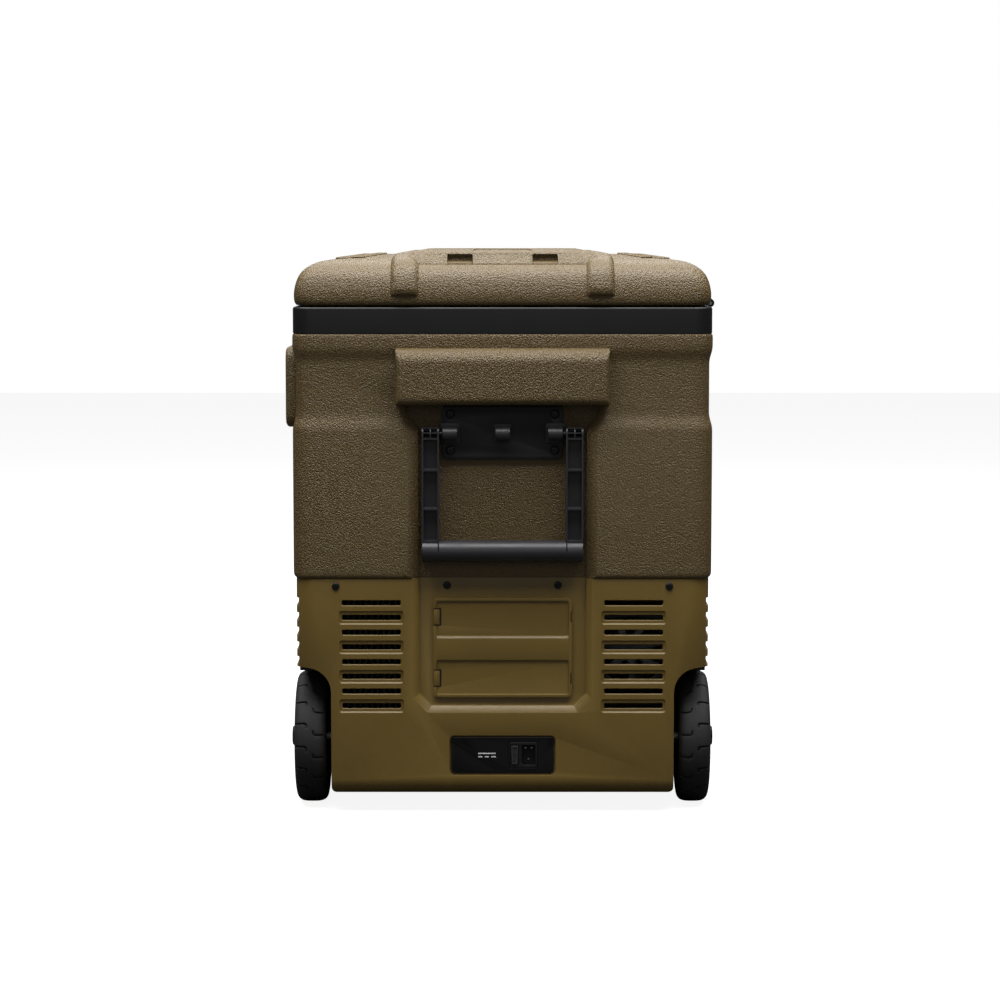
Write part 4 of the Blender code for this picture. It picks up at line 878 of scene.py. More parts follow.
@dataclass
class UpperCase(Assembly):
    """Grained upper case with its belt, niches and lifting block."""

    plan_radius: float = 0.018
    wall: float = 0.003
    belt_depth: float = 0.0032
    belt_drop: float = 0.015
    belt_slope: float = 0.0102
    belt_band: float = 0.0535
    grip_half: float = 0.101
    grip_height: float = 0.0535
    grip_drop: float = 0.0135
    grip_round: float = 0.0145
    pod_bed: float = 0.0006
    softness: float = 0.0028

    def rings(self, half_x: float, half_y: float, low: float, high: float) -> list[list[Point]]:
        """Sections of the outside, from the seam up to the rim."""
        belt = high - self.belt_drop
        corners = [(low, 0.0020), (low + 0.0022, 0.0),
                   (belt - 2 * self.belt_slope - self.belt_band, 0.0),
                   (belt - self.belt_slope - self.belt_band, self.belt_depth),
                   (belt - self.belt_slope, self.belt_depth), (belt, 0.0),
                   (high - 0.0014, 0.0), (high, 0.0014)]
        levels = eased(corners, 0.0045, 4)
        return [on(centred(half_x - i, half_y - i, self.plan_radius - i, 8), "z", z)
                for z, i in levels]

    def build(self) -> None:
        """Model and fit the shell and the lifting block."""
        low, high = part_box("upper_shell")
        half_x, half_y = high[0], high[1]
        shell = Bench.skin("upper_case", self.rings(half_x, half_y, low[2], high[2]))
        grip_foot = high[2] - self.grip_drop - self.grip_height
        front = Niche(-1, half_y, 0.093, grip_foot + 0.002)
        rear = Niche(1, half_y, 0.043, high[2] - self.belt_drop - self.belt_slope)
        Bench.cut(shell, front.cutter(), rear.cutter())
        Bench.bevel(shell, self.softness, 4, 24.0)
        bed = face_of(*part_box("control_pod"), "x", 0.0003, 0.0123)
        Bench.cut(shell, Bench.slab("pod_bed", bed, "x", -half_x - PAST,
                                    -half_x + self.belt_depth + self.pod_bed))
        inset = self.wall + self.belt_depth
        room = Bench.slab("room", centred(half_x - inset, half_y - inset, 0.012), "z",
                          low[2] - PAST, high[2] + PAST)
        Bench.cut(room, front.cutter(self.wall), rear.cutter(self.wall))
        Bench.cut(shell, room)
        self.fit(shell, GRAINED, Slot.GRAINED, ["upper_shell"])
        self.grip(low[1], -half_y, high[2])

    def grip(self, face: float, wall_y: float, rim: float) -> None:
        """Lifting block with a broad rounded top edge."""
        top = rim - self.grip_drop
        foot = top - self.grip_height
        back = wall_y + self.belt_depth + self.wall * 0.5
        profile = eased([(back, foot), (face, foot), (face, top - self.grip_round)], 0.0085, 6)
        for step in range(1, 9):
            turn = math.radians(90 * step / 8)
            profile.append((face + self.grip_round * (1 - math.cos(turn)),
                            top - self.grip_round * (1 - math.sin(turn))))
        profile.append((back, top))
        rings = []
        ease = 0.006
        for step in (*range(-6, 0), *range(1, 7)):
            turn = math.radians(90 * abs(step) / 6)
            x = math.copysign(self.grip_half - ease * (1 - math.sin(turn)), step)
            pull = ease * (1 - math.cos(turn))
            rings.append(on([(max(y, face + pull), z) for y, z in profile], "x", x))
        block = Bench.skin("grip_block", rings)
        self.fit(block, GRAINED, Slot.GRAINED, smooth=40.0)


@dataclass
class LowerCase(Assembly):
    """Smooth lower case with wheel arches, vents, battery opening and inlet recess."""

    plan_radius: float = 0.018
    wall: float = 0.003
    arch_inside: float = 0.164
    arch_gap: float = 0.013
    # depth of the black band of painted shade in each arch
    lip: float = 0.0045
    arch_round: float = 0.024
    foot_round: float = 0.0145
    foot_drop: float = 0.0028
    corner_round: float = 0.0065
    vent_rows: int = 8
    vent_pitch: float = 0.01418
    vent_top: float = 0.2035
    vent_half: float = 0.00245
    vent_near: float = 0.0972
    vent_length: float = 0.056
    pocket_depth: float = 0.0014
    side_rows: int = 5
    side_length: float = 0.110
    side_share: float = 0.45
    groove_half: float = 0.0040
    groove_depth: float = 0.0026
    panel_margin: float = 0.0018
    panel_recess: float = 0.0040
    screw_z: float = 0.2196
    screw_x: tuple[float, ...] = (-0.159, -0.053, 0.053, 0.159)

    def build(self) -> None:
        """Model and fit the shell and its screws."""
        low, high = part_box("lower_shell")
        self.side, self.end = high[0], high[1]
        wheel_low, wheel_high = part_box("tyre_left")
        self.axle = ((wheel_low[1] + wheel_high[1]) / 2, (wheel_low[2] + wheel_high[2]) / 2)
        self.arch_radius = (wheel_high[2] - wheel_low[2]) / 2 + self.arch_gap
        self.side_start = self.axle[0] - self.side_length * self.side_share
        foot = low[2] - self.foot_drop
        levels = [(foot + self.foot_round * (1 - math.cos(math.radians(15 * step))),
                   self.foot_round * (1 - math.sin(math.radians(15 * step))))
                  for step in range(7)]
        levels += [(high[2] - 0.0006, 0.0), (high[2], 0.0006)]
        shell = Bench.skin("lower_case", [
            on(centred(self.side - i, self.end - i, self.plan_radius - i, 8), "z", z)
            for z, i in levels])
        case_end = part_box("upper_shell")[1][1]
        front = Niche(-1, case_end, 0.093)
        rear = Niche(1, case_end, 0.043)
        Bench.cut(shell, front.cutter(), rear.cutter(), self.arch(-1), self.arch(1),
                  self.corner_cutter(-1, foot), self.corner_cutter(1, foot),
                  self.recess())
        Bench.bevel(shell, 0.0018, 3, 26.0)
        room = Bench.slab("room", centred(self.side - self.wall, self.end - self.wall, 0.015), "z",
                          low[2] + self.foot_round, high[2] + PAST)
        Bench.cut(room, front.cutter(self.wall), rear.cutter(self.wall), self.arch(-1, self.wall),
                  self.arch(1, self.wall), self.recess(self.wall))
        Bench.cut(shell, room)
        self.openings(shell)
        self.fit(shell, SMOOTH, Slot.SATIN, ["lower_shell"])
        # painted shade: a black band inside each arch above the tyre
        for side, word in SIDES:
            self.arch_shade_band(side, word)
        # painted shade: a dark sheet behind each side's vents
        for side, word in SIDES:
            self.vent_shade_sheet(side, word)
        seats = [(x, -self.niche_or_end(x, case_end), self.screw_z) for x in self.screw_x]
        Screws().build("case_screw", seats)

    def corner_cutter(self, side: int, foot: float) -> Piece:
        """Rounds the lower corner beside a wheel."""
        inner, r = self.arch_inside, self.corner_round
        outline = [(side * (inner - r), foot - PAST), (side * (inner + PAST), foot - PAST),
                   (side * (inner + PAST), foot + r)]
        for step in range(ARC + 1):
            turn = math.radians(90 * step / ARC)
            outline.append((side * (inner - r + r * math.cos(turn)),
                            foot + r - r * math.sin(turn)))
        return Bench.slab("corner_cutter", outline, "y", -self.end - PAST,
                          self.axle[0] + self.arch_radius)

    def niche_or_end(self, x: float, case_end: float) -> float:
        """Depth of the wheel-end wall at x."""
        return case_end - Niche.depth if abs(x) < Niche.half else self.end

    def arch(self, side: int, grow: float = 0.0) -> Piece:
        """Cutter of one wheel arch, open to the wheel end."""
        rings = []
        for step in range(9):
            turn = math.radians(90 * step / 8)
            radius = self.arch_radius + grow - self.arch_round * (1 - math.sin(turn))
            x = self.arch_inside - grow + self.arch_round * (1 - math.cos(turn))
            rings.append(self.arch_ring(side * x, radius))
        rings.append(self.arch_ring(side * (self.side + 2 * PAST), self.arch_radius + grow))
        return Bench.skin("arch_cutter", rings)

    def arch_ring(self, x: float, radius: float) -> list[Point]:
        """One section of the arch at x."""
        y, z = self.axle
        start = -self.end - 2 * PAST
        outline = [(start, -PAST), (start, z + radius), *self.arc(radius, 90, 16),
                   (y + radius, -PAST)]
        return on(outline, "x", x)

    def arc(self, radius: float, sweep: float, steps: int) -> list[Flat]:
        """Part of a circle round the axle, from its top towards the far end."""
        turns = [math.radians(90 - sweep * step / steps) for step in range(steps + 1)]
        return [(self.axle[0] + radius * math.cos(turn), self.axle[1] + radius * math.sin(turn))
                for turn in turns]

    def arch_shade_band(self, side: int, word: str) -> None:
        """Black band that lines the outer edge of one arch: painted shade in the gap above the tyre."""
        outer, inner = self.arch_radius + 0.0005, self.arch_radius - self.lip
        start, top = -self.end + 0.014, self.axle[1]
        outline = [(start, top + inner), (start, top + outer), *self.arc(outer, 75, 14),
                   *reversed(self.arc(inner, 75, 14))]
        ends = sorted((side * (self.side - 0.0165), side * (self.side - 0.0030)))
        lip = Bench.slab(f"arch_shade_band_{word}", outline, "x", *ends)
        Bench.bevel(lip, 0.0006, 2, 40.0)
        self.fit(lip, BLACK, Slot.BLACK)

    def vent_shade_sheet(self, side: int, word: str) -> None:
        """Dark sheet against the inside of one side's vents: painted shade that stands in for the dim
        bay behind them.
        """
        foot = self.vent_top - (self.side_rows - 1) * self.vent_pitch
        ends = sorted((side * (self.side - self.wall - 0.0015),
                       side * (self.side - self.wall + 0.0003)))
        margin = 0.004
        shade_sheet = Bench.block(f"vent_shade_sheet_{word}",
                             (ends[0], self.side_start - margin, foot - margin),
                             (ends[1], self.side_start + self.side_length + margin,
                              self.vent_top + margin), 0.0004)
        self.fit(shade_sheet, BLACK, Slot.BLACK)

    def recess(self, grow: float = 0.0) -> Piece:
        """Cutter of the inlet panel's recess."""
        outline = face_of(*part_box("inlet_panel"), "y", self.panel_margin + grow, 0.0048 + grow)
        return Bench.slab("recess_cutter", outline, "y", -self.end - 2 * PAST,
                          -self.end + self.panel_recess + grow)

    def mouth(self, low: Flat, high: Flat, radius: float, face: float, depth: float,
              lip: float) -> Piece:
        """Cutter through the wheel-end wall with a flared mouth.

        Args:
            low: lower corner of the hole, as (x, z).
            high: upper corner.
            radius: corner radius.
            face: y of the wall's outer face.
            depth: how deep it cuts.
            lip: how far the mouth flares.

        Returns:
            The cutter.
        """
        rings = []
        for y, grow in ((face - PAST, lip), (face - 0.0001, lip), (face + lip, 0.0),
                        (face + depth, 0.0)):
            rings.append(on(rounded((low[0] - grow, low[1] - grow), (high[0] + grow,
                                                                    high[1] + grow),
                                    radius + grow, 3), "y", y))
        return Bench.skin("mouth_cutter", rings)

    def openings(self, shell: Piece) -> None:
        """Cut the vents, the battery opening, the inlet hole and the axle holes."""
        face = -self.end
        for row in range(self.vent_rows):
            z = self.vent_top - row * self.vent_pitch
            for side in (-1, 1):
                middle = side * (self.vent_near + self.vent_length / 2)
                half = self.vent_length / 2
                if row % 2:
                    wide, tall = half + 0.0016, self.vent_half + 0.0028
                    Bench.cut(shell, self.mouth((middle - wide, z - tall), (middle + wide, z + tall),
                                                0.0012, face, self.pocket_depth, 0.0015))
                start = face + (self.pocket_depth if row % 2 else 0.0)
                Bench.cut(shell, self.mouth((middle - half, z - self.vent_half),
                                            (middle + half, z + self.vent_half), 0.0013,
                                            start, 0.006, 0.0007))
        for row in range(self.side_rows):
            z = self.vent_top - row * self.vent_pitch
            start = self.side_start
            outline = rounded((start, z - self.vent_half), (start + self.side_length,
                                                            z + self.vent_half), 0.0015, 3)
            groove = rounded((-self.end - PAST, z - self.groove_half),
                             (start + self.side_length + 0.002, z + self.groove_half),
                             self.groove_half - 0.0004, 4)
            for side in (-1, 1):
                Bench.cut(shell, Bench.slab("side_groove", groove, "x",
                                            side * (self.side - self.groove_depth),
                                            side * (self.side + PAST)))
                Bench.cut(shell, Bench.slab("side_vent", outline, "x",
                                            side * (self.side - 2 * self.wall),
                                            side * (self.side + PAST)))
        door_low, door_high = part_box("battery_door")
        inset = 0.0065
        Bench.cut(shell, Bench.block("battery_opening",
                                     (door_low[0] + inset, face - PAST, door_low[2] + inset),
                                     (door_high[0] - inset, face + 0.020, door_high[2] - inset)))
        socket_low, socket_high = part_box("inlet_socket")
        Bench.cut(shell, Bench.block("inlet_hole",
                                     (socket_low[0] - 0.0003, face - PAST, socket_low[2] - 0.0003),
                                     (socket_high[0] + 0.0003, face + 0.012,
                                      socket_high[2] + 0.0003)))
        Bench.cut(shell, Bench.slab("axle_hole", circle(0.0064, *self.axle), "x", -self.side,
                                    self.side))


@dataclass
class RimFrame(Assembly):
    """Black frame between case and lid."""

    edge: float = 0.0011

    def build(self) -> None:
        """Model and fit the frame."""
        low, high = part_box("rim_frame")
        radius = 0.0174
        corners = [(low[2], 0.0), (high[2] - self.edge, 0.0), (high[2], self.edge)]
        levels = eased(corners, 0.0008, 3)
        frame = Bench.skin("rim_band", [on(centred(high[0] - i, high[1] - i, radius - i, 8), "z", z)
                                        for z, i in levels])
        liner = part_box("inner_liner")[1]
        hole = Bench.slab("rim_opening", centred(liner[0] + 0.0003, liner[1] + 0.0003, 0.0253), "z",
                          low[2] - PAST, high[2] + PAST)
        Bench.cut(frame, hole)
        self.fit(frame, BLACK, Slot.BLACK, ["rim_frame"])


@dataclass
class Lid(Assembly):
    """Grained lid: rounded shell, two ribs, pocketed plateau and shoulder grips."""

    body: str = "lid"
    wall: float = 0.0032
    rim_step: float = 0.00085
    crown: tuple[Flat, ...] = ((0.0000, 0.0025), (0.0030, 0.0004), (0.0113, 0.0000),
                               (0.0198, 0.0015), (0.0282, 0.0047), (0.0349, 0.0106),
                               (0.0407, 0.0216), (0.0432, 0.0358), (0.0447, 0.0700))
    rib_centre: float = 0.0927
    rib_base: float = 0.0285
    rib_top: float = 0.0190
    rib_proud: float = 0.0045
    plateau_half: float = 0.085
    plateau_foot: float = 0.100
    plateau_inset: float = 0.0175
    plateau_slope: float = 0.0110
    pocket_near: float = 0.0285
    pocket_width: float = 0.0240
    tread_rows: int = 13
    tread_pitch: float = 0.0215

    def section(self, z: float, inset: float) -> list[Point]:
        """Plan section of the lid."""
        radius = max(0.018 - inset * 0.35, 0.012)
        return on(centred(self.half_x - inset, self.half_y - inset, radius, 8), "z", z)

    def levels(self) -> list[Flat]:
        """Smooth version of the crown's profile as (height, inset)."""
        return eased(self.crown, 0.0200, 3)

    def build(self) -> None:
        """Model and fit the lid's outside and its lining."""
        low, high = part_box("lid_shell")
        self.half_x = -low[0]
        self.half_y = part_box("rim_frame")[1][1] - self.rim_step
        self.foot, self.top = low[2], high[2]
        shell = Bench.skin("lid_skin", [self.section(self.foot + z, i) for z, i in self.levels()])
        room = [self.section(self.foot - PAST, self.wall + 0.0025)]
        room += [self.section(self.foot + z - self.wall * 0.6, i + self.wall + 0.0012)
                 for z, i in self.crown[2:7]]
        latch_low, latch_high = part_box("latch_bracket")
        Bench.cut(shell, Bench.block("latch_bed", (-self.half_x - PAST, latch_low[1] - 0.002,
                                                   self.foot - PAST),
                                     (-self.half_x + 0.0012, latch_high[1] + 0.002,
                                      latch_high[2] + 0.0015)))
        Bench.bevel(shell, 0.0008, 3, 45.0)
        Bench.cut(shell, Bench.skin("lid_room", room))
        self.fit(shell, GRAINED, Slot.GRAINED, ["lid_shell"], smooth=40.0)
        for side, word in SIDES:
            self.rib(side, word)
            self.treads(side, word)
        self.plateau()
        self.soften("lid_liner", LINER, Slot.LINER, 0.0006, 3, 28.0)
        self.dress("lid_foam", FOAM)
        self.soften("lid_gasket", SEAL, Slot.SEAL, 0.0004, 3, 28.0)

    def rib(self, side: int, word: str) -> None:
        """Lengthwise rib that wraps down over both ends."""
        start = [(-self.half_y, self.foot + 0.0092), (-self.half_y, self.foot + 0.0112)]
        line = start + [(-self.half_y + i, self.foot + z)
                        for z, i in eased(self.crown[2:], 0.0200, 4)[1:]]
        rings = []
        base, top = self.rib_base / 2, self.rib_top / 2
        profile = [(-base, -0.0012), (-top, self.rib_proud), (top, self.rib_proud),
                   (base, -0.0012)]
        for across, proud in eased(profile, 0.0030, 4):
            edge = offset_line(line, proud)
            taper = [(y + max(proud, 0.0) * share, z)
                     for (y, z), share in zip(edge, (0.62, 0.16, *([0.0] * len(edge))))]
            front = [(line[0][0] + 0.004, line[0][1] - 0.0012)] + taper
            back = [(-y, z) for y, z in reversed(front)]
            rings.append(on(front + back, "x", side * self.rib_centre + across))
        self.fit(Bench.skin(f"lid_rib_{word}", rings), GRAINED, Slot.GRAINED, smooth=50.0)

    def plateau(self) -> None:
        """Raised middle with sloped ends, pockets and a shallow central tray."""
        end = self.half_y - self.plateau_inset
        foot = self.foot + 0.0388
        rings = []
        for z, half, y in ((foot, self.plateau_foot, end), (self.top - 0.0010, self.plateau_half + 0.001,
                                                           end - self.plateau_slope + 0.001),
                           (self.top, self.plateau_half, end - self.plateau_slope - 0.001)):
            rings.append(on(centred(half, y, 0.004, 3), "z", z))
        raised = Bench.skin("lid_plateau", rings)
        for end_side in (-1, 1):
            for side in (-1, 1):
                near, far = sorted((side * self.pocket_near,
                                    side * (self.pocket_near + self.pocket_width)))
                start, stop = sorted((end_side * (end + 0.006), end_side * (end - 0.0115)))
                low = (near, start, self.top - 0.0118)
                high = (far, stop, self.top - 0.0028)
                Bench.cut(raised, Bench.block("pocket", low, high, 0.0008))
                notch_low = (low[0] - 0.003, end_side * (end - 0.030) - 0.010, self.top - 0.0010)
                notch_high = (high[0] + 0.003, notch_low[1] + 0.022, self.top + PAST)
                Bench.cut(raised, Bench.block("notch", notch_low, notch_high))
        tray = rounded((-0.030, -end * 0.62), (0.030, end * 0.62), 0.010)
        Bench.cut(raised, Bench.slab("tray", tray, "z", self.top - 0.0012, self.top + PAST))
        Bench.bevel(raised, 0.0006, 2, 30.0)
        self.fit(raised, GRAINED, Slot.GRAINED)

    def treads(self, side: int, word: str) -> None:
        """Anti-slip bars in a herringbone along one shoulder."""
        bars = []
        for row in range(-self.tread_rows, self.tread_rows + 1):
            for column, lean in ((0, 1), (1, -1)):
                x = side * (0.1390 + 0.0160 * column)
                y = row * self.tread_pitch
                half_x, half_y = 0.0058, 0.0024
                z = self.foot + (0.0447 if column == 0 else 0.0437)
                rings = []
                for height, shrink in ((-0.003, 0.0), (0.0006, 0.0), (0.0013, 0.0008)):
                    outline = [(x + u, y + v + lean * u * 0.55) for u, v in
                               centred(half_x - shrink, half_y - shrink, 0.0012, 3)]
                    rings.append(on(outline, "z", z + height))
                bars.append(Bench.skin("tread", rings))
        self.fit(Bench.join(f"shoulder_treads_{word}", bars), GRAINED, Slot.GRAINED)


# ================================================================ handles
@dataclass
class SwingHandle(Assembly):
    """Black hinge plate with its screws, and the swing handle."""

    knuckles: tuple[float, ...] = (-0.050, 0.0, 0.050)
    knuckle_half: float = 0.0070
    knuckle_radius: float = 0.0065
    pin_z: float = 0.3655
    screw_x: float = 0.0497
    screw_drop: tuple[float, float] = (0.0075, 0.0421)
    inner: float = 0.0602
    outer: float = 0.0765
    thick: float = 0.0130
    grip: float = 0.0210
    wall: float = 0.0016
    ribs: tuple[float, ...] = (0.3310, 0.2940)

    def build(self) -> None:
        """Model and fit plate, screws, pin and handle."""
        low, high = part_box("handle_plate")
        pin_low, pin_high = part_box("handle_pin")
        self.pin_y = (pin_low[1] + pin_high[1]) / 2
        self.plate(low, high)
        face = high[1] - 0.0042
        seats = [(side * self.screw_x, face, high[2] - drop)
                 for side in (-1, 1) for drop in self.screw_drop]
        Screws(head=0.0040, height=0.0014).build("plate_screw", seats)
        self.pins(pin_low, pin_high)
        self.bail()

    def pins(self, low: Vector, high: Vector) -> None:
        """One headed pin for each arm, through the outer knuckles."""
        radius = (high[2] - low[2]) / 2
        inner = self.knuckles[-1] - self.knuckle_half
        for side, word in SIDES:
            levels = ((inner, 0.80), (inner + 0.0008, 1.0), (high[0] - 0.0006, 1.0),
                      (high[0], 0.80))
            pin = Bench.turned(f"bail_pin_{word}", radius,
                               [(side * x, share) for x, share in levels], "x",
                               (self.pin_y, self.pin_z), 24)
            self.fit(pin, DARK_ZINC, Slot.STEEL, ["handle_pin"], smooth=40.0)

    def plate(self, low: Vector, high: Vector) -> None:
        """Plate with raised pads, screw seats and three knuckles."""
        face = high[1] - 0.004
        plate = Bench.slab("hinge_plate", face_of(low, high, "y", 0.0, 0.005), "y", face, high[1])
        for side in (-1, 1):
            for drop in self.screw_drop:
                seat = circle(0.0046, side * self.screw_x, high[2] - drop, 28)
                Bench.cut(plate, Bench.slab("seat", seat, "y", face - PAST, face + 0.0008))
        Bench.bevel(plate, 0.0007, 3, 40.0)
        self.fit(plate, BLACK, Slot.BLACK, ["handle_plate"])
        for i, x in enumerate(self.knuckles):
            pad = 0.0022 if i != 1 else 0.0012
            foot = Bench.block("pad", (x - self.knuckle_half - pad, face - 0.0006,
                                       self.pin_z - self.knuckle_radius - pad),
                               (x + self.knuckle_half + pad, face + 0.001,
                                self.pin_z + self.knuckle_radius + pad + 0.001), 0.0004)
            outline = [(face + 0.001, self.pin_z - self.knuckle_radius * 0.95)]
            for step in range(13):
                turn = math.radians(-90 - 180 * step / 12)
                outline.append((self.pin_y + self.knuckle_radius * math.cos(turn),
                                self.pin_z + self.knuckle_radius * math.sin(turn)))
            outline.append((face + 0.001, self.pin_z + self.knuckle_radius * 0.95))
            barrel = Bench.slab("barrel", outline, "x", x - self.knuckle_half,
                                x + self.knuckle_half)
            Bench.bevel(barrel, 0.0006, 2, 50.0)
            knuckle = Bench.join(f"plate_knuckle_{i}", [barrel, foot])
            self.fit(knuckle, HANDLE, Slot.BLACK, smooth=40.0)

    def bail(self) -> None:
        """Ribbed arms with thin walls, and a rounded grip bar."""
        low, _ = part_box("bail_handle")
        radius = self.grip / 2
        front, back = self.pin_y - self.thick / 2, self.pin_y + self.thick / 2
        bar_z = low[2] + radius
        bar = Bench.slab("bail_grip", circle(radius, self.pin_y, bar_z, 40), "x",
                         -self.outer, self.outer)
        Bench.bevel(bar, 0.0008, 2, 50.0)
        for x in (-self.inner - 0.0008, self.inner + 0.0008):
            Bench.cut(bar, Bench.block("slit", (x - 0.0006, self.pin_y - radius - PAST, bar_z + 0.0006),
                                       (x + 0.0006, self.pin_y, bar_z + radius + PAST)))
        self.fit(bar, HANDLE, Slot.BLACK, ["bail_handle"], "bail", 40.0)
        for side, word in SIDES:
            arm = self.arm(front, back, bar_z)
            if side < 0:
                twin = Bench.mirrored(arm, f"bail_arm_{word}")
                bpy.data.objects.remove(arm, do_unlink=True)
                arm = twin
            arm.name = f"bail_arm_{word}"
            self.fit(arm, HANDLE, Slot.BLACK, (), "bail")

    def arm(self, front: float, back: float, bar_z: float) -> Piece:
        """The arm on the +X side: an open channel with cross ribs and a lattice top."""
        outline = [(front, bar_z), (back, bar_z)]
        half = self.thick / 2
        for step in range(13):
            turn = math.radians(180 * step / 12)
            outline.append((self.pin_y + half * math.cos(turn),
                            self.pin_z + half * math.sin(turn)))
        arm = Bench.slab("arm", outline, "x", self.inner, self.outer)
        near, far = self.inner + self.wall, self.outer - self.wall
        floor = front + self.thick * 0.62
        stops = [self.pin_z - 0.0045, *self.ribs, bar_z + self.grip / 2 - 0.001]
        for upper, lower in zip(stops, stops[1:]):
            Bench.cut(arm, Bench.block("channel", (near, front - PAST, lower + self.wall / 2),
                                       (far, floor, upper - self.wall / 2), 0.0003, 1))
        middle = (near + far) / 2
        for u0, u1 in ((near, middle - 0.0005), (middle + 0.0005, far)):
            for v0, v1 in ((self.pin_z - 0.0037, self.pin_z + 0.0006),
                           (self.pin_z + 0.0014, self.pin_z + 0.0050)):
                Bench.cut(arm, Bench.block("cell", (u0, front - PAST, v0), (u1, floor, v1)))
        Bench.cut(arm, Bench.slab("bore", circle(0.0029, self.pin_y, self.pin_z, 24), "x",
                                  self.inner - PAST, self.outer - self.wall))
        Bench.bevel(arm, 0.00025, 2, 50.0)
        return arm


@dataclass
class PullHandle(Assembly):
    """Telescoping handle at the far end."""

    body: str = "pull_handle"

    def build(self) -> None:
        """Model and fit tubes, collars, brackets, rods, grip and button."""
        for word in ("left", "right"):
            low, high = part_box(f"pull_tube_{word}")
            x, y = (low[0] + high[0]) / 2, (low[1] + high[1]) / 2
            radius = (high[0] - low[0]) / 2
            tube = Bench.spun(f"outer_tube_{word}",
                              [(radius, low[2]), (radius, high[2] - 0.0005),
                               (radius - 0.0005, high[2]), (radius - 0.0013, high[2]),
                               (radius - 0.0015, high[2] - 0.0005), (radius - 0.0015, low[2])],
                              "z", (x, y, 0.0), 40)
            self.fit(tube, ALLOY, Slot.TUBE, [f"pull_tube_{word}"], "cabinet", 40.0)
            lip, top = radius + 0.0011, high[2]
            collar = Bench.spun(f"tube_collar_{word}",
                                [(radius + 0.0001, top - 0.012), (lip, top - 0.0115),
                                 (lip, top - 0.0005), (radius + 0.0004, top + 0.0006),
                                 (0.0047, top + 0.0006), (0.0047, top + 0.0001),
                                 (radius + 0.0001, top + 0.0001)], "z", (x, y, 0.0), 40)
            self.fit(collar, BLACK, Slot.BLACK, (), "cabinet", 40.0)
            rod_low, rod_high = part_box(f"pull_rod_{word}")
            rod_radius = (rod_high[0] - rod_low[0]) / 2
            levels = ((rod_low[2], 0.9), (rod_low[2] + 0.0006, 1.0), (rod_high[2], 1.0))
            rod = Bench.turned(f"inner_tube_{word}", rod_radius, levels, "z", (x, y), 32)
            self.fit(rod, ALLOY, Slot.TUBE, [f"pull_rod_{word}"], smooth=40.0)
        for word in ("bottom", "top"):
            self.soften(f"pull_bracket_{word}", BLACK, Slot.BLACK, 0.0009, 3,
                        body="cabinet")
        self.grip()

    def grip(self) -> None:
        """Grip bar with finger ribs underneath, and its release button."""
        low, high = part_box("pull_grip")
        outline = face_of(low, high, "x", 0.0, 0.0062, 8)
        inner = [(y * 0.94 + (low[1] + high[1]) / 2 * 0.06, z * 0.94 + (low[2] + high[2]) / 2 * 0.06)
                 for y, z in outline]
        rings = [on(inner, "x", low[0])]
        rings += [on(outline, "x", x) for x in (low[0] + 0.002, high[0] - 0.002)]
        rings.append(on(inner, "x", high[0]))
        bar = Bench.skin("pull_bar", rings)
        for i in range(-7, 8):
            x = i * 0.0068
            Bench.cut(bar, Bench.block("groove", (x - 0.0010, low[1] - PAST, low[2] - PAST),
                                       (x + 0.0010, high[1] + PAST, low[2] + 0.0010)))
        pocket = face_of(*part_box("pull_button"), "z", 0.0003, 0.0033)
        Bench.cut(bar, Bench.slab("pocket", pocket, "z", high[2] - 0.006, high[2] + PAST))
        Bench.bevel(bar, 0.0003, 2, 50.0)
        self.fit(bar, HANDLE, Slot.BLACK, ["pull_grip"], smooth=40.0)
        self.soften("pull_button", GREY, Slot.GREY, 0.0007, 3, body="pull_button")


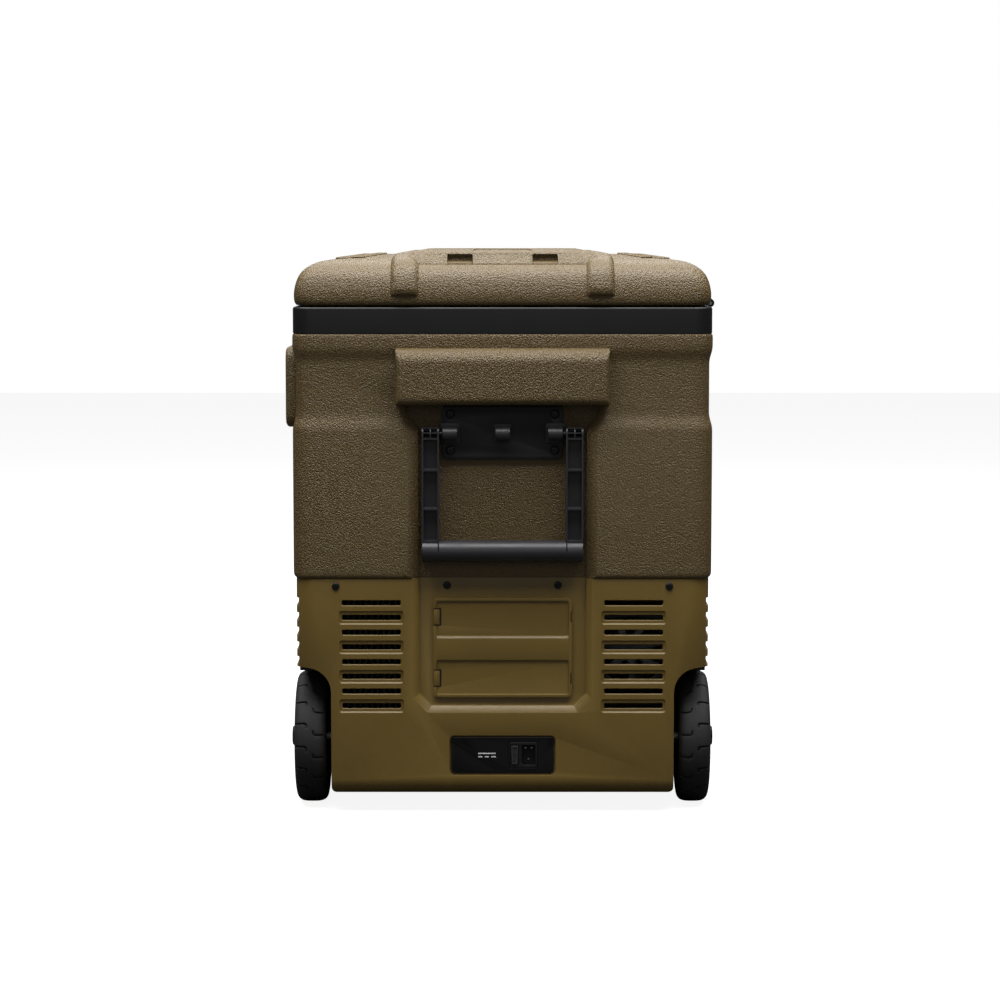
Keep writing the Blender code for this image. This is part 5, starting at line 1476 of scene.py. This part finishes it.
# ================================================================ wheel end
@dataclass
class BatteryDoor(Assembly):
    """Battery door: beaded rim, two sunk panels, raised bar, clips and hinge slots."""

    body: str = "battery_door"
    radius: float = 0.005
    bead: float = 0.0032
    sunk: float = 0.0017
    bar: tuple[float, float] = (0.0356, 0.0570)

    def build(self) -> None:
        """Model and fit the door and its clips."""
        low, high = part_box("battery_door")
        face, back = low[1], low[1] + 0.003
        self.low, self.high, self.face = low, high, face
        door = Bench.slab("door_panel", face_of(low, high, "y", 0.0, self.radius), "y", face, back)
        sill = self.bead
        for foot, top in ((low[2] + sill, low[2] + self.bar[0]),
                          (low[2] + self.bar[1] + 0.0022, high[2] - sill)):
            Bench.cut(door, self.sunk_panel(foot, top))
        Bench.cut(door, self.bar_slope(low[2] + self.bar[1]))
        for node in ("door_clip_lower", "door_clip_upper"):
            clip_low, clip_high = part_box(node)
            Bench.cut(door, Bench.block("clip_room", (low[0] + 0.0004, face - PAST,
                                                      clip_low[2] - 0.0012),
                                        (clip_high[0] + 0.0016, face + 0.0024,
                                         clip_high[2] + 0.0012)))
            Bench.cut(door, Bench.block("hinge_slot", (high[0] - 0.0013, face - PAST,
                                                       clip_low[2] + 0.0020),
                                        (high[0] - 0.0003, face + 0.0024,
                                         clip_high[2] - 0.0020)))
            # black floors in the clip and hinge slots are painted shade
            self.shade_floor(f"{node}_well", (low[0] + 0.0006, clip_low[2] - 0.0010),
                      (clip_high[0] + 0.0014, clip_high[2] + 0.0010))
            self.shade_floor(f"{node}_hinge_well", (high[0] - 0.0012, clip_low[2] + 0.0022),
                      (high[0] - 0.0004, clip_high[2] - 0.0022))
        Bench.bevel(door, 0.0008, 3, 35.0)
        self.fit(door, SMOOTH, Slot.SATIN, ["battery_door"])
        tray = Bench.block("door_tray", (low[0] + 0.0090, back - 0.0010, low[2] + 0.0080),
                           (high[0] - 0.0130, high[1], high[2] - 0.0080), 0.0008)
        self.fit(tray, SMOOTH, Slot.SATIN)
        for node in ("door_clip_lower", "door_clip_upper"):
            self.clip(node)

    def sunk_panel(self, foot: float, top: float) -> Piece:
        """Cutter of a sunk panel with a soft edge."""
        rings = []
        for y, grow in ((self.face - PAST, 0.0006), (self.face, 0.0006),
                        (self.face + self.sunk, 0.0)):
            rings.append(on(rounded((self.low[0] + self.bead + 0.0003 - grow, foot - grow),
                                    (self.high[0] - self.bead - 0.0003 + grow, top + grow),
                                    0.0016 + grow, 4), "y", y))
        return Bench.skin("panel_cutter", rings)

    def shade_floor(self, name: str, low: Flat, high: Flat) -> None:
        """Black floor in a slot of the door: painted shade at the bottom of the slot."""
        floor = Bench.block(name, (low[0], self.face + 0.0019, low[1]),
                            (high[0], self.face + 0.0027, high[1]), 0.0001, 1)
        self.fit(floor, BLACK, Slot.BLACK)

    def bar_slope(self, top: float) -> Piece:
        """Cutter that slopes the raised bar's upper edge."""
        left, right = self.low[0] + self.bead + 0.0003, self.high[0] - self.bead - 0.0003
        rings = []
        for y, drop in ((self.face - 0.001, 0.0016), (self.face, 0.0),
                        (self.face + self.sunk, -0.0023)):
            outline = [(left, top - drop), (right, top - drop), (right, top + 0.0040),
                       (left, top + 0.0040)]
            rings.append(on(outline, "y", y))
        return Bench.skin("slope_cutter", rings)

    def clip(self, node: str) -> None:
        """Snap clip with a sloped thumb ramp."""
        low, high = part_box(node)
        outline = [(low[0], high[1]), (low[0], low[1] + 0.0006), (low[0] + 0.0008, low[1]),
                   (high[0] - 0.0022, low[1]), (high[0] - 0.0016, low[1] + 0.0007),
                   (high[0], low[1] + 0.0009), (high[0], high[1])]
        clip = Bench.skin(f"{node}_tongue", [[(x, y, z) for x, y in outline]
                                             for z in (low[2], high[2])])
        Bench.bevel(clip, 0.0003, 2, 40.0)
        self.fit(clip, SMOOTH, Slot.SATIN, [node], node)


@dataclass
class PowerInlet(Assembly):
    """Gloss panel with a fused power socket and a direct-current sign."""

    port_width: float = 0.0130
    port_height: float = 0.0190
    rim: float = 0.0016
    sign_x: float = -0.0150
    sign_half: float = 0.0085

    def build(self) -> None:
        """Model and fit panel, socket, contacts, fuse drawer and sign."""
        low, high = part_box("inlet_panel")
        panel = Bench.slab("inlet_face", face_of(low, high, "y", 0.0, 0.0035), "y", low[1], high[1])
        socket_low, socket_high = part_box("inlet_socket")
        hole = face_of(socket_low, socket_high, "y", 0.0002, 0.0012, 4)
        Bench.cut(panel, Bench.slab("hole", hole, "y", low[1] - PAST, high[1] + PAST))
        Bench.bevel(panel, 0.0004, 2, 40.0)
        self.fit(panel, GLOSS, Slot.GLOSS, ["inlet_panel"])
        self.socket(socket_low, socket_high)
        self.sign(low[1])

    def socket(self, low: Vector, high: Vector) -> None:
        """Socket body, its port and its contacts."""
        body = Bench.slab("socket_body", face_of(low, high, "y", 0.0, 0.0013, 4), "y", low[1],
                          high[1])
        right = high[0] - self.rim
        left = right - self.port_width
        middle, tall = (low[2] + high[2]) / 2, self.port_height / 2
        port = [(right, middle + tall), (left, middle + tall), (left, middle - tall + 0.0022),
                (left + 0.0022, middle - tall), (right, middle - tall)]
        Bench.cut(body, Bench.slab("port", port, "y", low[1] - PAST, low[1] + 0.0115))
        drawer_low, drawer_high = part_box("fuse_drawer")
        Bench.cut(body, Bench.block("bay", (drawer_low[0] - 0.0003, low[1] - PAST,
                                            drawer_low[2] - 0.0003),
                                    (drawer_high[0] + 0.0003, low[1] + 0.0115,
                                     drawer_high[2] + 0.0003)))
        Bench.bevel(body, 0.00035, 2, 40.0)
        self.fit(body, BLACK, Slot.BLACK, ["inlet_socket"])
        centre = right - self.port_width / 2
        for i, (dx, dz) in enumerate(((-0.0030, 0.0062), (0.0030, 0.0062), (0.0, -0.0046))):
            blade = Bench.block(f"contact_blade_{i}",
                                (centre + dx - 0.0010, low[1] + 0.0050, middle + dz - 0.0005),
                                (centre + dx + 0.0010, low[1] + 0.0118, middle + dz + 0.0005),
                                0.0002)
            self.fit(blade, ZINC, Slot.STEEL)
        drawer = Bench.softened("fuse_drawer", 0.0004, 2, 40.0)
        for level in (-0.35, 0.0, 0.35):
            z = middle + level * (drawer_high[2] - drawer_low[2])
            Bench.cut(drawer, Bench.block("tick", (drawer_low[0] + 0.0016, drawer_low[1] - PAST,
                                                   z - 0.0004),
                                          (drawer_high[0] - 0.0016, drawer_low[1] + 0.0004,
                                           z + 0.0004)))
        self.fit(drawer, HANDLE, Slot.BLACK, ["fuse_drawer"], "fuse_drawer")

    def sign(self, face: float) -> None:
        """Generic direct-current sign: a bar over three dashes."""
        middle = (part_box("inlet_panel")[0][2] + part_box("inlet_panel")[1][2]) / 2
        strokes = [(self.sign_x - self.sign_half, self.sign_x + self.sign_half, 0.0016)]
        dash = self.sign_half * 2 / 4.0
        for i in range(3):
            left = self.sign_x - self.sign_half + i * dash * 1.5
            strokes.append((left, left + dash, -0.0016))
        bars = [Bench.block("stroke", (x0, face - 0.00008, middle + dz - 0.00055),
                            (x1, face + 0.0002, middle + dz + 0.00055))
                for x0, x1, dz in strokes]
        self.fit(Bench.join("direct_current_sign", bars), MARKING, Slot.GLOSS)


@dataclass
class Wheels(Assembly):
    """Tyres with staggered tread cuts, spoked hubs and caps."""

    grooves: int = 18
    groove_length: float = 0.0128
    groove_depth: float = 0.0019
    inside: float = 0.0443
    shoulder: float = 0.0125
    crown: float = 0.60
    spokes: int = 5
    cap_proud: float = 0.0016

    def build(self) -> None:
        """Model the right wheel, mirror it to the left, and fit both."""
        low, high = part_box("tyre_right")
        self.centre = (0.0, (low[1] + high[1]) / 2, (low[2] + high[2]) / 2)
        self.radius = (high[2] - low[2]) / 2
        self.near, self.far = low[0], high[0]
        parts = {"tyre": (self.tyre(), TYRE, Slot.TYRE),
                 "hub": (self.hub(), BLACK, Slot.BLACK),
                 "wheel_cap": (self.cap(), BLACK, Slot.BLACK)}
        for node, (piece, finish, slot) in parts.items():
            for word, thing in (("left", Bench.mirrored(piece, f"{node}_detail_left")),
                                ("right", piece)):
                thing.name = f"{node}_detail_{word}"
                self.fit(thing, finish, slot, [f"{node}_{word}"], f"wheel_{word}", 38.0)
        self.dress("axle", ZINC)
        for side, word in SIDES:
            washer = Bench.spun(f"axle_washer_{word}",
                                [(0.0064, 0.0), (0.0115, 0.0), (0.0115, 0.0012), (0.0064, 0.0012)],
                                "x", (side * 0.1655 - 0.0006, *self.centre[1:]), 32)
            self.fit(washer, ZINC, Slot.STEEL, smooth=40.0)

    def tyre(self) -> Piece:
        """Tyre section spun round the axle, cut by two staggered rows of grooves."""
        near, far, r = self.near, self.far, self.radius
        middle, half_width = (near + far) / 2, (far - near) / 2
        half = [(self.inside, half_width - 0.0040), (self.inside + 0.0015, half_width - 0.0008),
                (self.inside + 0.0030, half_width)]
        for step in range(1, 10):
            turn = math.radians(90 - 10 * step)
            half.append((r - self.shoulder * (1 - math.cos(turn) ** self.crown),
                         half_width * math.sin(turn) ** self.crown))
        profile = [(h, middle + x) for h, x in half]
        profile += [(h, middle - x) for h, x in reversed(half[:-1])]
        tyre = Bench.spun("tyre_right_work", profile, "x", self.centre, 90)
        Bench.cut(tyre, self.groove_ring(1, 0.0), self.groove_ring(-1, 0.5))
        Bench.bevel(tyre, 0.0004, 2, 42.0)
        return tyre

    def groove_ring(self, side: int, phase: float) -> Piece:
        """Ring of cutters on one side of the tread; side 1 is the outer side."""
        cutters = []
        edge = self.far if side > 0 else self.near
        inner = edge - side * self.groove_length
        for i in range(self.grooves):
            turn = math.tau * (i + phase) / self.grooves
            outline = [(edge + side * 0.0030, -0.0008), (inner + side * 0.0030, -0.0008),
                       (inner + side * 0.0008, -0.0003), (inner, 0.0012), (inner, 0.0042),
                       (inner + side * 0.0014, 0.0046), (inner + side * 0.0016, 0.0020),
                       (inner + side * 0.0036, 0.0009), (edge + side * 0.0030, 0.0010)]
            rings = []
            for radius in (self.radius - self.groove_depth, self.radius + 0.004):
                ring = []
                for u, v in outline:
                    angle = turn + v / self.radius * (1.0 if side > 0 else -1.0)
                    depth = radius - (0.004 if radius < self.radius and
                                      abs(u - edge) < 0.0035 else 0.0)
                    ring.append((u, self.centre[1] + depth * math.cos(angle),
                                 self.centre[2] + depth * math.sin(angle)))
                rings.append(ring)
            cutters.append(Bench.skin("groove", rings))
        return Bench.join("groove_ring", cutters)

    def hub(self) -> Piece:
        """Dished hub with windows between its spokes."""
        low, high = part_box("hub_right")
        near, far = low[0], high[0]
        rim = self.inside - 0.0004
        profile = [(0.0063, near), (0.0063, far), (0.0150, far), (0.0175, far - 0.0015),
                   (0.0200, far - 0.0060), (rim - 0.0070, far - 0.0075), (rim - 0.0040, far - 0.0012),
                   (rim - 0.0020, far), (rim, far - 0.0006), (rim, near), (rim - 0.0030, near),
                   (rim - 0.0060, near + 0.0100), (0.0200, near + 0.0120), (0.0140, near)]
        hub = Bench.spun("hub_right_work", profile, "x", self.centre, 80)
        for i in range(self.spokes):
            middle = math.tau * i / self.spokes + math.pi / 2
            sweep = math.tau / self.spokes * 0.33
            outline = []
            for radius, steps in ((0.0215, range(-4, 5)), (rim - 0.0085, range(4, -5, -1))):
                for step in steps:
                    share = sweep * (0.80 if radius < 0.03 else 1.0)
                    angle = middle + share * step / 4
                    outline.append((self.centre[1] + radius * math.cos(angle),
                                    self.centre[2] + radius * math.sin(angle)))
            Bench.cut(hub, Bench.slab("window", outline, "x", near - PAST, far + PAST))
        Bench.bevel(hub, 0.0005, 2, 40.0)
        return hub

    def cap(self) -> Piece:
        """Round cap with a shallow ring groove."""
        low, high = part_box("wheel_cap_right")
        radius = (high[2] - low[2]) / 2
        tip = high[0] + self.cap_proud
        levels = ((low[0], 1.0), (high[0] - 0.0022, 1.0), (high[0] - 0.0010, 0.95),
                  (high[0] - 0.0007, 0.72), (high[0] - 0.0002, 0.64), (tip - 0.0008, 0.62),
                  (tip, 0.56), (tip, 0.44), (tip - 0.0006, 0.38), (tip - 0.0006, 0.10))
        return Bench.turned("cap_right_work", radius, levels, "x", self.centre[1:], 40)


# ================================================================ sides
@dataclass
class ControlPod(Assembly):
    """Khaki pod with a dark face, a display and three keys."""

    chamfer: float = 0.0030

    def build(self) -> None:
        """Model and fit the pod, the face, the display marks and the keys."""
        low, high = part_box("control_pod")
        rings = []
        for x, shrink in ((high[0], 0.0), (low[0] + self.chamfer, 0.0),
                          (low[0] + self.chamfer * 0.4, self.chamfer * 0.3), (low[0], self.chamfer)):
            rings.append(on(face_of(low, high, "x", -shrink, 0.012 - shrink * 0.5), "x", x))
        pod = Bench.skin("pod_housing", rings)
        screen_low, screen_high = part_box("display_window")
        bed = face_of(screen_low, screen_high, "x", 0.0003, 0.0043)
        Bench.cut(pod, Bench.slab("bed", bed, "x", low[0] - PAST, low[0] + 0.0016))
        for name in ("key_power", "key_up", "key_down"):
            key_low, key_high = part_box(name)
            middle = [(a + b) / 2 for a, b in zip(key_low, key_high)]
            radius = (key_high[1] - key_low[1]) / 2
            Bench.cut(pod, Bench.slab("hole", circle(radius + 0.0003, middle[1], middle[2], 40), "x",
                                      low[0] - PAST, low[0] + 0.0045))
            self.key(name, middle, radius, key_low[0], key_high[0])
        Bench.bevel(pod, 0.0005, 2, 40.0)
        self.fit(pod, GRAINED, Slot.GRAINED, ["control_pod"], smooth=40.0)
        self.soften("display_window", GLOSS, Slot.GLOSS, 0.0004)
        self.digits(screen_low, screen_high)

    def key(self, name: str, middle: Sequence[float], radius: float, tip: float,
            back: float) -> None:
        """Round key with a dished top and a moulded sign."""
        levels = ((back, 1.0), (tip + 0.0008, 1.0), (tip + 0.0002, 0.95), (tip, 0.86),
                  (tip + 0.0003, 0.60), (tip + 0.0005, 0.30))
        cap = Bench.turned(f"{name}_cap", radius, levels, "x", middle[1:], 40)
        self.fit(cap, GREY, Slot.GREY, [name], name, 40.0)
        y, z = middle[1], middle[2]
        shapes: dict[str, list[list[Flat]]] = {
            "key_up": [[(y - 0.0026, z - 0.0014), (y + 0.0026, z - 0.0014), (y, z + 0.0024)]],
            "key_down": [[(y - 0.0026, z + 0.0014), (y + 0.0026, z + 0.0014), (y, z - 0.0024)]],
            "key_power": [rounded((y - 0.0004, z), (y + 0.0004, z + 0.0030), 0.0002, 2)]}
        marks = [Bench.slab("mark", outline, "x", tip + 0.0002, tip + 0.0009)
                 for outline in shapes[name]]
        if name == "key_power":
            marks.append(Bench.spun("ring", [(0.0026, -0.0003), (0.0032, -0.0003),
                                             (0.0032, 0.0004), (0.0026, 0.0004)], "x",
                                    (tip + 0.0005, y, z), 28))
        self.fit(Bench.join(f"{name}_sign", marks), MARKING, Slot.GREY, (), name)

    def digits(self, low: Vector, high: Vector) -> None:
        """Unlit seven-segment numbers behind the window."""
        segments = []
        z_mid = (low[2] + high[2]) / 2
        face = low[0] - 0.00006
        for i in range(3):
            y0 = low[1] + 0.015 + i * 0.0165
            for dz in (-0.0078, 0.0, 0.0078):
                segments.append(((y0 + 0.0010, z_mid + dz - 0.0007),
                                 (y0 + 0.0080, z_mid + dz + 0.0007)))
            for dy in (0.0, 0.0090):
                for dz in (-0.0039, 0.0039):
                    segments.append(((y0 + dy - 0.0007, z_mid + dz - 0.0032),
                                     (y0 + dy + 0.0007, z_mid + dz + 0.0032)))
        bars = [Bench.slab("segment", rounded(a, b, 0.0005, 2), "x", face, face + 0.0003)
                for a, b in segments]
        self.fit(Bench.join("display_segments", bars), GREY, Slot.GLOSS)


@dataclass
class Latch(Assembly):
    """Lid latch on the control side."""

    body: str = "lid"

    def build(self) -> None:
        """Model and fit bracket, lever and pin."""
        self.soften("latch_bracket", BLACK, Slot.BLACK, 0.0004)
        lever = Bench.softened("latch_lever", 0.0009, 3, 30.0)
        low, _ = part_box("latch_lever")
        for i in range(4):
            z = low[2] + 0.0085 + i * 0.0032
            Bench.cut(lever, Bench.block("rib", (low[0] - PAST, -0.028, z - 0.0007),
                                         (low[0] + 0.0006, 0.028, z + 0.0007)))
        self.fit(lever, BLACK, Slot.BLACK, ["latch_lever"], "latch")
        self.dress("latch_pin", ZINC)


@dataclass
class LidHinges(Assembly):
    """Hinges on the +X side."""

    def build(self) -> None:
        """Round the hinge pieces' edges and dress them."""
        for word in ("front", "rear"):
            for part, body in (("hinge_base", "cabinet"), ("hinge_leaf", "lid")):
                self.soften(f"{part}_{word}", BLACK, Slot.BLACK, 0.0004, body=body,
                            smooth=40.0)
            self.dress(f"hinge_pin_{word}", ZINC)


# ================================================================ inside and below
@dataclass
class Interior(Assembly):
    """Tub, basket and lamp."""

    def build(self) -> None:
        """Model and fit what shows with the lid open."""
        self.soften("inner_liner", LINER, Slot.LINER, 0.0009, 3, smooth=40.0)
        self.soften("basket", GREY, Slot.GREY, 0.0007, smooth=40.0)
        self.soften("interior_lamp", LENS, Slot.LINER, 0.0004)
        self.dress("foam_core", FOAM)


@dataclass
class MachineBay(Assembly):
    """What shows faintly behind the vents, and what stands in the bay."""

    def build(self) -> None:
        """Dress the machinery and round the fan's frame."""
        for node, finish in (("compressor", PAINT), ("condenser", FINS), ("base_plate", ZINC),
                             ("control_board", BOARD)):
            self.dress(node, finish)
        self.soften("fan_frame", BLACK, Slot.BLACK, 0.0006)
        self.soften("fan_rotor", GREY, Slot.BLACK, 0.0005, body="fan")
        self.soften("battery_pack", GREY, Slot.GREY, 0.0006)


@dataclass
class Feet(Assembly):
    """Rubber feet under the pull-handle end."""

    def build(self) -> None:
        """Model and fit two ribbed feet."""
        for word in ("left", "right"):
            low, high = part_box(f"foot_{word}")
            x, y = (low[0] + high[0]) / 2, (low[1] + high[1]) / 2
            radius = (high[0] - low[0]) / 2
            height = high[2]
            levels = ((0.0, 0.90), (0.0004, 0.95), (0.0022, 1.0), (0.0060, 1.0), (0.0068, 0.95),
                      (0.0078, 0.95), (0.0086, 0.99), (height - 0.001, 0.87), (height, 0.85))
            foot = Bench.turned(f"rubber_foot_{word}", radius, levels, "z", (x, y), 40)
            self.fit(foot, SEAL, Slot.SEAL, [f"foot_{word}"], smooth=40.0)


# ================================================================ studio
@dataclass
class Studio:
    """Camera, floor and soft lights."""

    lens: float = 102.8
    distance: float = 2.70
    height: float = 0.553
    tilt: float = 0.0928
    shift_left: float = 0.0024
    end: float = 0.340

    def camera(self) -> None:
        """Place the camera square on to the wheel end, looking slightly down."""
        Bench.clear()
        bpy.ops.object.camera_add(location=(-self.shift_left, -self.end - self.distance,
                                            self.height),
                                  rotation=(math.pi / 2 - math.atan(self.tilt), 0.0, 0.0))
        camera = bpy.context.object
        camera.data.lens = self.lens
        camera.data.sensor_width = 36.0
        camera.data.clip_start = 0.01
        bpy.context.scene.camera = camera

    def lamp(self, name: str, place: Point, aim: Point, size: Flat, power: float) -> None:
        """Add a rectangular soft light that points at a place.

        Args:
            name: the lamp's name.
            place: its position.
            aim: where it points.
            size: its width and height.
            power: its power in watts.
        """
        Bench.clear()
        bpy.ops.object.light_add(type="AREA", location=place)
        lamp = bpy.context.object
        lamp.name = name
        lamp.data.shape = "RECTANGLE"
        lamp.data.size, lamp.data.size_y = size
        lamp.data.energy = power
        way = Vector(aim) - Vector(place)
        lamp.rotation_euler = way.to_track_quat("-Z", "Y").to_euler()

    def floor(self) -> None:
        """Pale floor."""
        Bench.clear()
        bpy.ops.mesh.primitive_plane_add(size=14.0, location=(0.0, 0.0, 0.0))
        floor = bpy.context.object
        floor.name = "studio_floor"
        finish = Finish("studio_floor_paint", (0.86, 0.86, 0.86), (0.84, 0.84, 0.84), (0.75, 0.85),
                        Grain.SATIN, 60.0, 0.00002, specular=0.1, dust=0.0)
        floor.data.materials.append(self.paint(finish.material()))

    @staticmethod
    def paint(material: bpy.types.Material) -> bpy.types.Material:
        """Let the floor glow for the camera, so it meets the pale surround softly."""
        wiring = Wiring(material.node_tree)
        shader = material.node_tree.nodes["Principled BSDF"]
        glow = wiring.add("ShaderNodeEmission")
        glow.inputs["Strength"].default_value = 1.45
        seen = wiring.add("ShaderNodeMixShader", in_Fac=0.62)
        wiring.join(shader.outputs[0], seen.inputs[1])
        wiring.join(glow.outputs[0], seen.inputs[2])
        dull = wiring.add("ShaderNodeBsdfDiffuse")
        dull.inputs["Color"].default_value = (0.05, 0.05, 0.05, 1.0)
        both = wiring.add("ShaderNodeMixShader")
        wiring.join(wiring.add("ShaderNodeLightPath").outputs["Is Camera Ray"], both.inputs[0])
        wiring.join(dull.outputs[0], both.inputs[1])
        wiring.join(seen.outputs[0], both.inputs[2])
        wiring.join(both.outputs[0], material.node_tree.nodes["Material Output"].inputs["Surface"])
        return material

    def world(self) -> None:
        """White surround that lights the object only softly."""
        world = bpy.data.worlds.new("pale_surround")
        bpy.context.scene.world = world
        world.use_nodes = True
        wiring = Wiring(world.node_tree)
        sky = world.node_tree.nodes["Background"]
        sky.inputs["Color"].default_value = (1.0, 1.0, 1.0, 1.0)
        sky.inputs["Strength"].default_value = 0.07
        seen = wiring.add("ShaderNodeBackground")
        seen.inputs["Color"].default_value = (1.0, 1.0, 1.0, 1.0)
        seen.inputs["Strength"].default_value = 1.0
        mix = wiring.add("ShaderNodeMixShader")
        wiring.join(wiring.add("ShaderNodeLightPath").outputs["Is Camera Ray"], mix.inputs[0])
        wiring.join(sky.outputs[0], mix.inputs[1])
        wiring.join(seen.outputs[0], mix.inputs[2])
        wiring.join(mix.outputs[0], world.node_tree.nodes["World Output"].inputs["Surface"])

    def build(self) -> None:
        """Set up the studio."""
        bpy.context.scene.view_settings.view_transform = "Standard"
        self.camera()
        self.floor()
        self.world()
        self.lamp("overhead", (0.0, -0.45, 2.4), (0.0, -0.45, 0.4), (3.2, 2.8), 192.0)
        self.lamp("front_fill", (0.0, -3.2, 1.3), (0.0, 0.0, 0.25), (2.4, 1.2), 5.0)
        self.lamp("rear_fill", (0.0, 2.6, 2.0), (0.0, 0.0, 0.3), (2.0, 0.8), 16.0)


def main() -> None:
    """Load the frame and build every sub-assembly around it."""
    logging.basicConfig(level=logging.INFO, format="%(name)s: %(message)s")
    FRAME.update(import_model())
    Studio().build()
    for assembly in (UpperCase(), LowerCase(), RimFrame(), Lid(), SwingHandle(), PullHandle(),
                     BatteryDoor(), PowerInlet(), Wheels(), ControlPod(), Latch(), LidHinges(),
                     Interior(), MachineBay(), Feet()):
        assembly.build()
    Bench.clear()


if __name__ == "__main__":
    main()
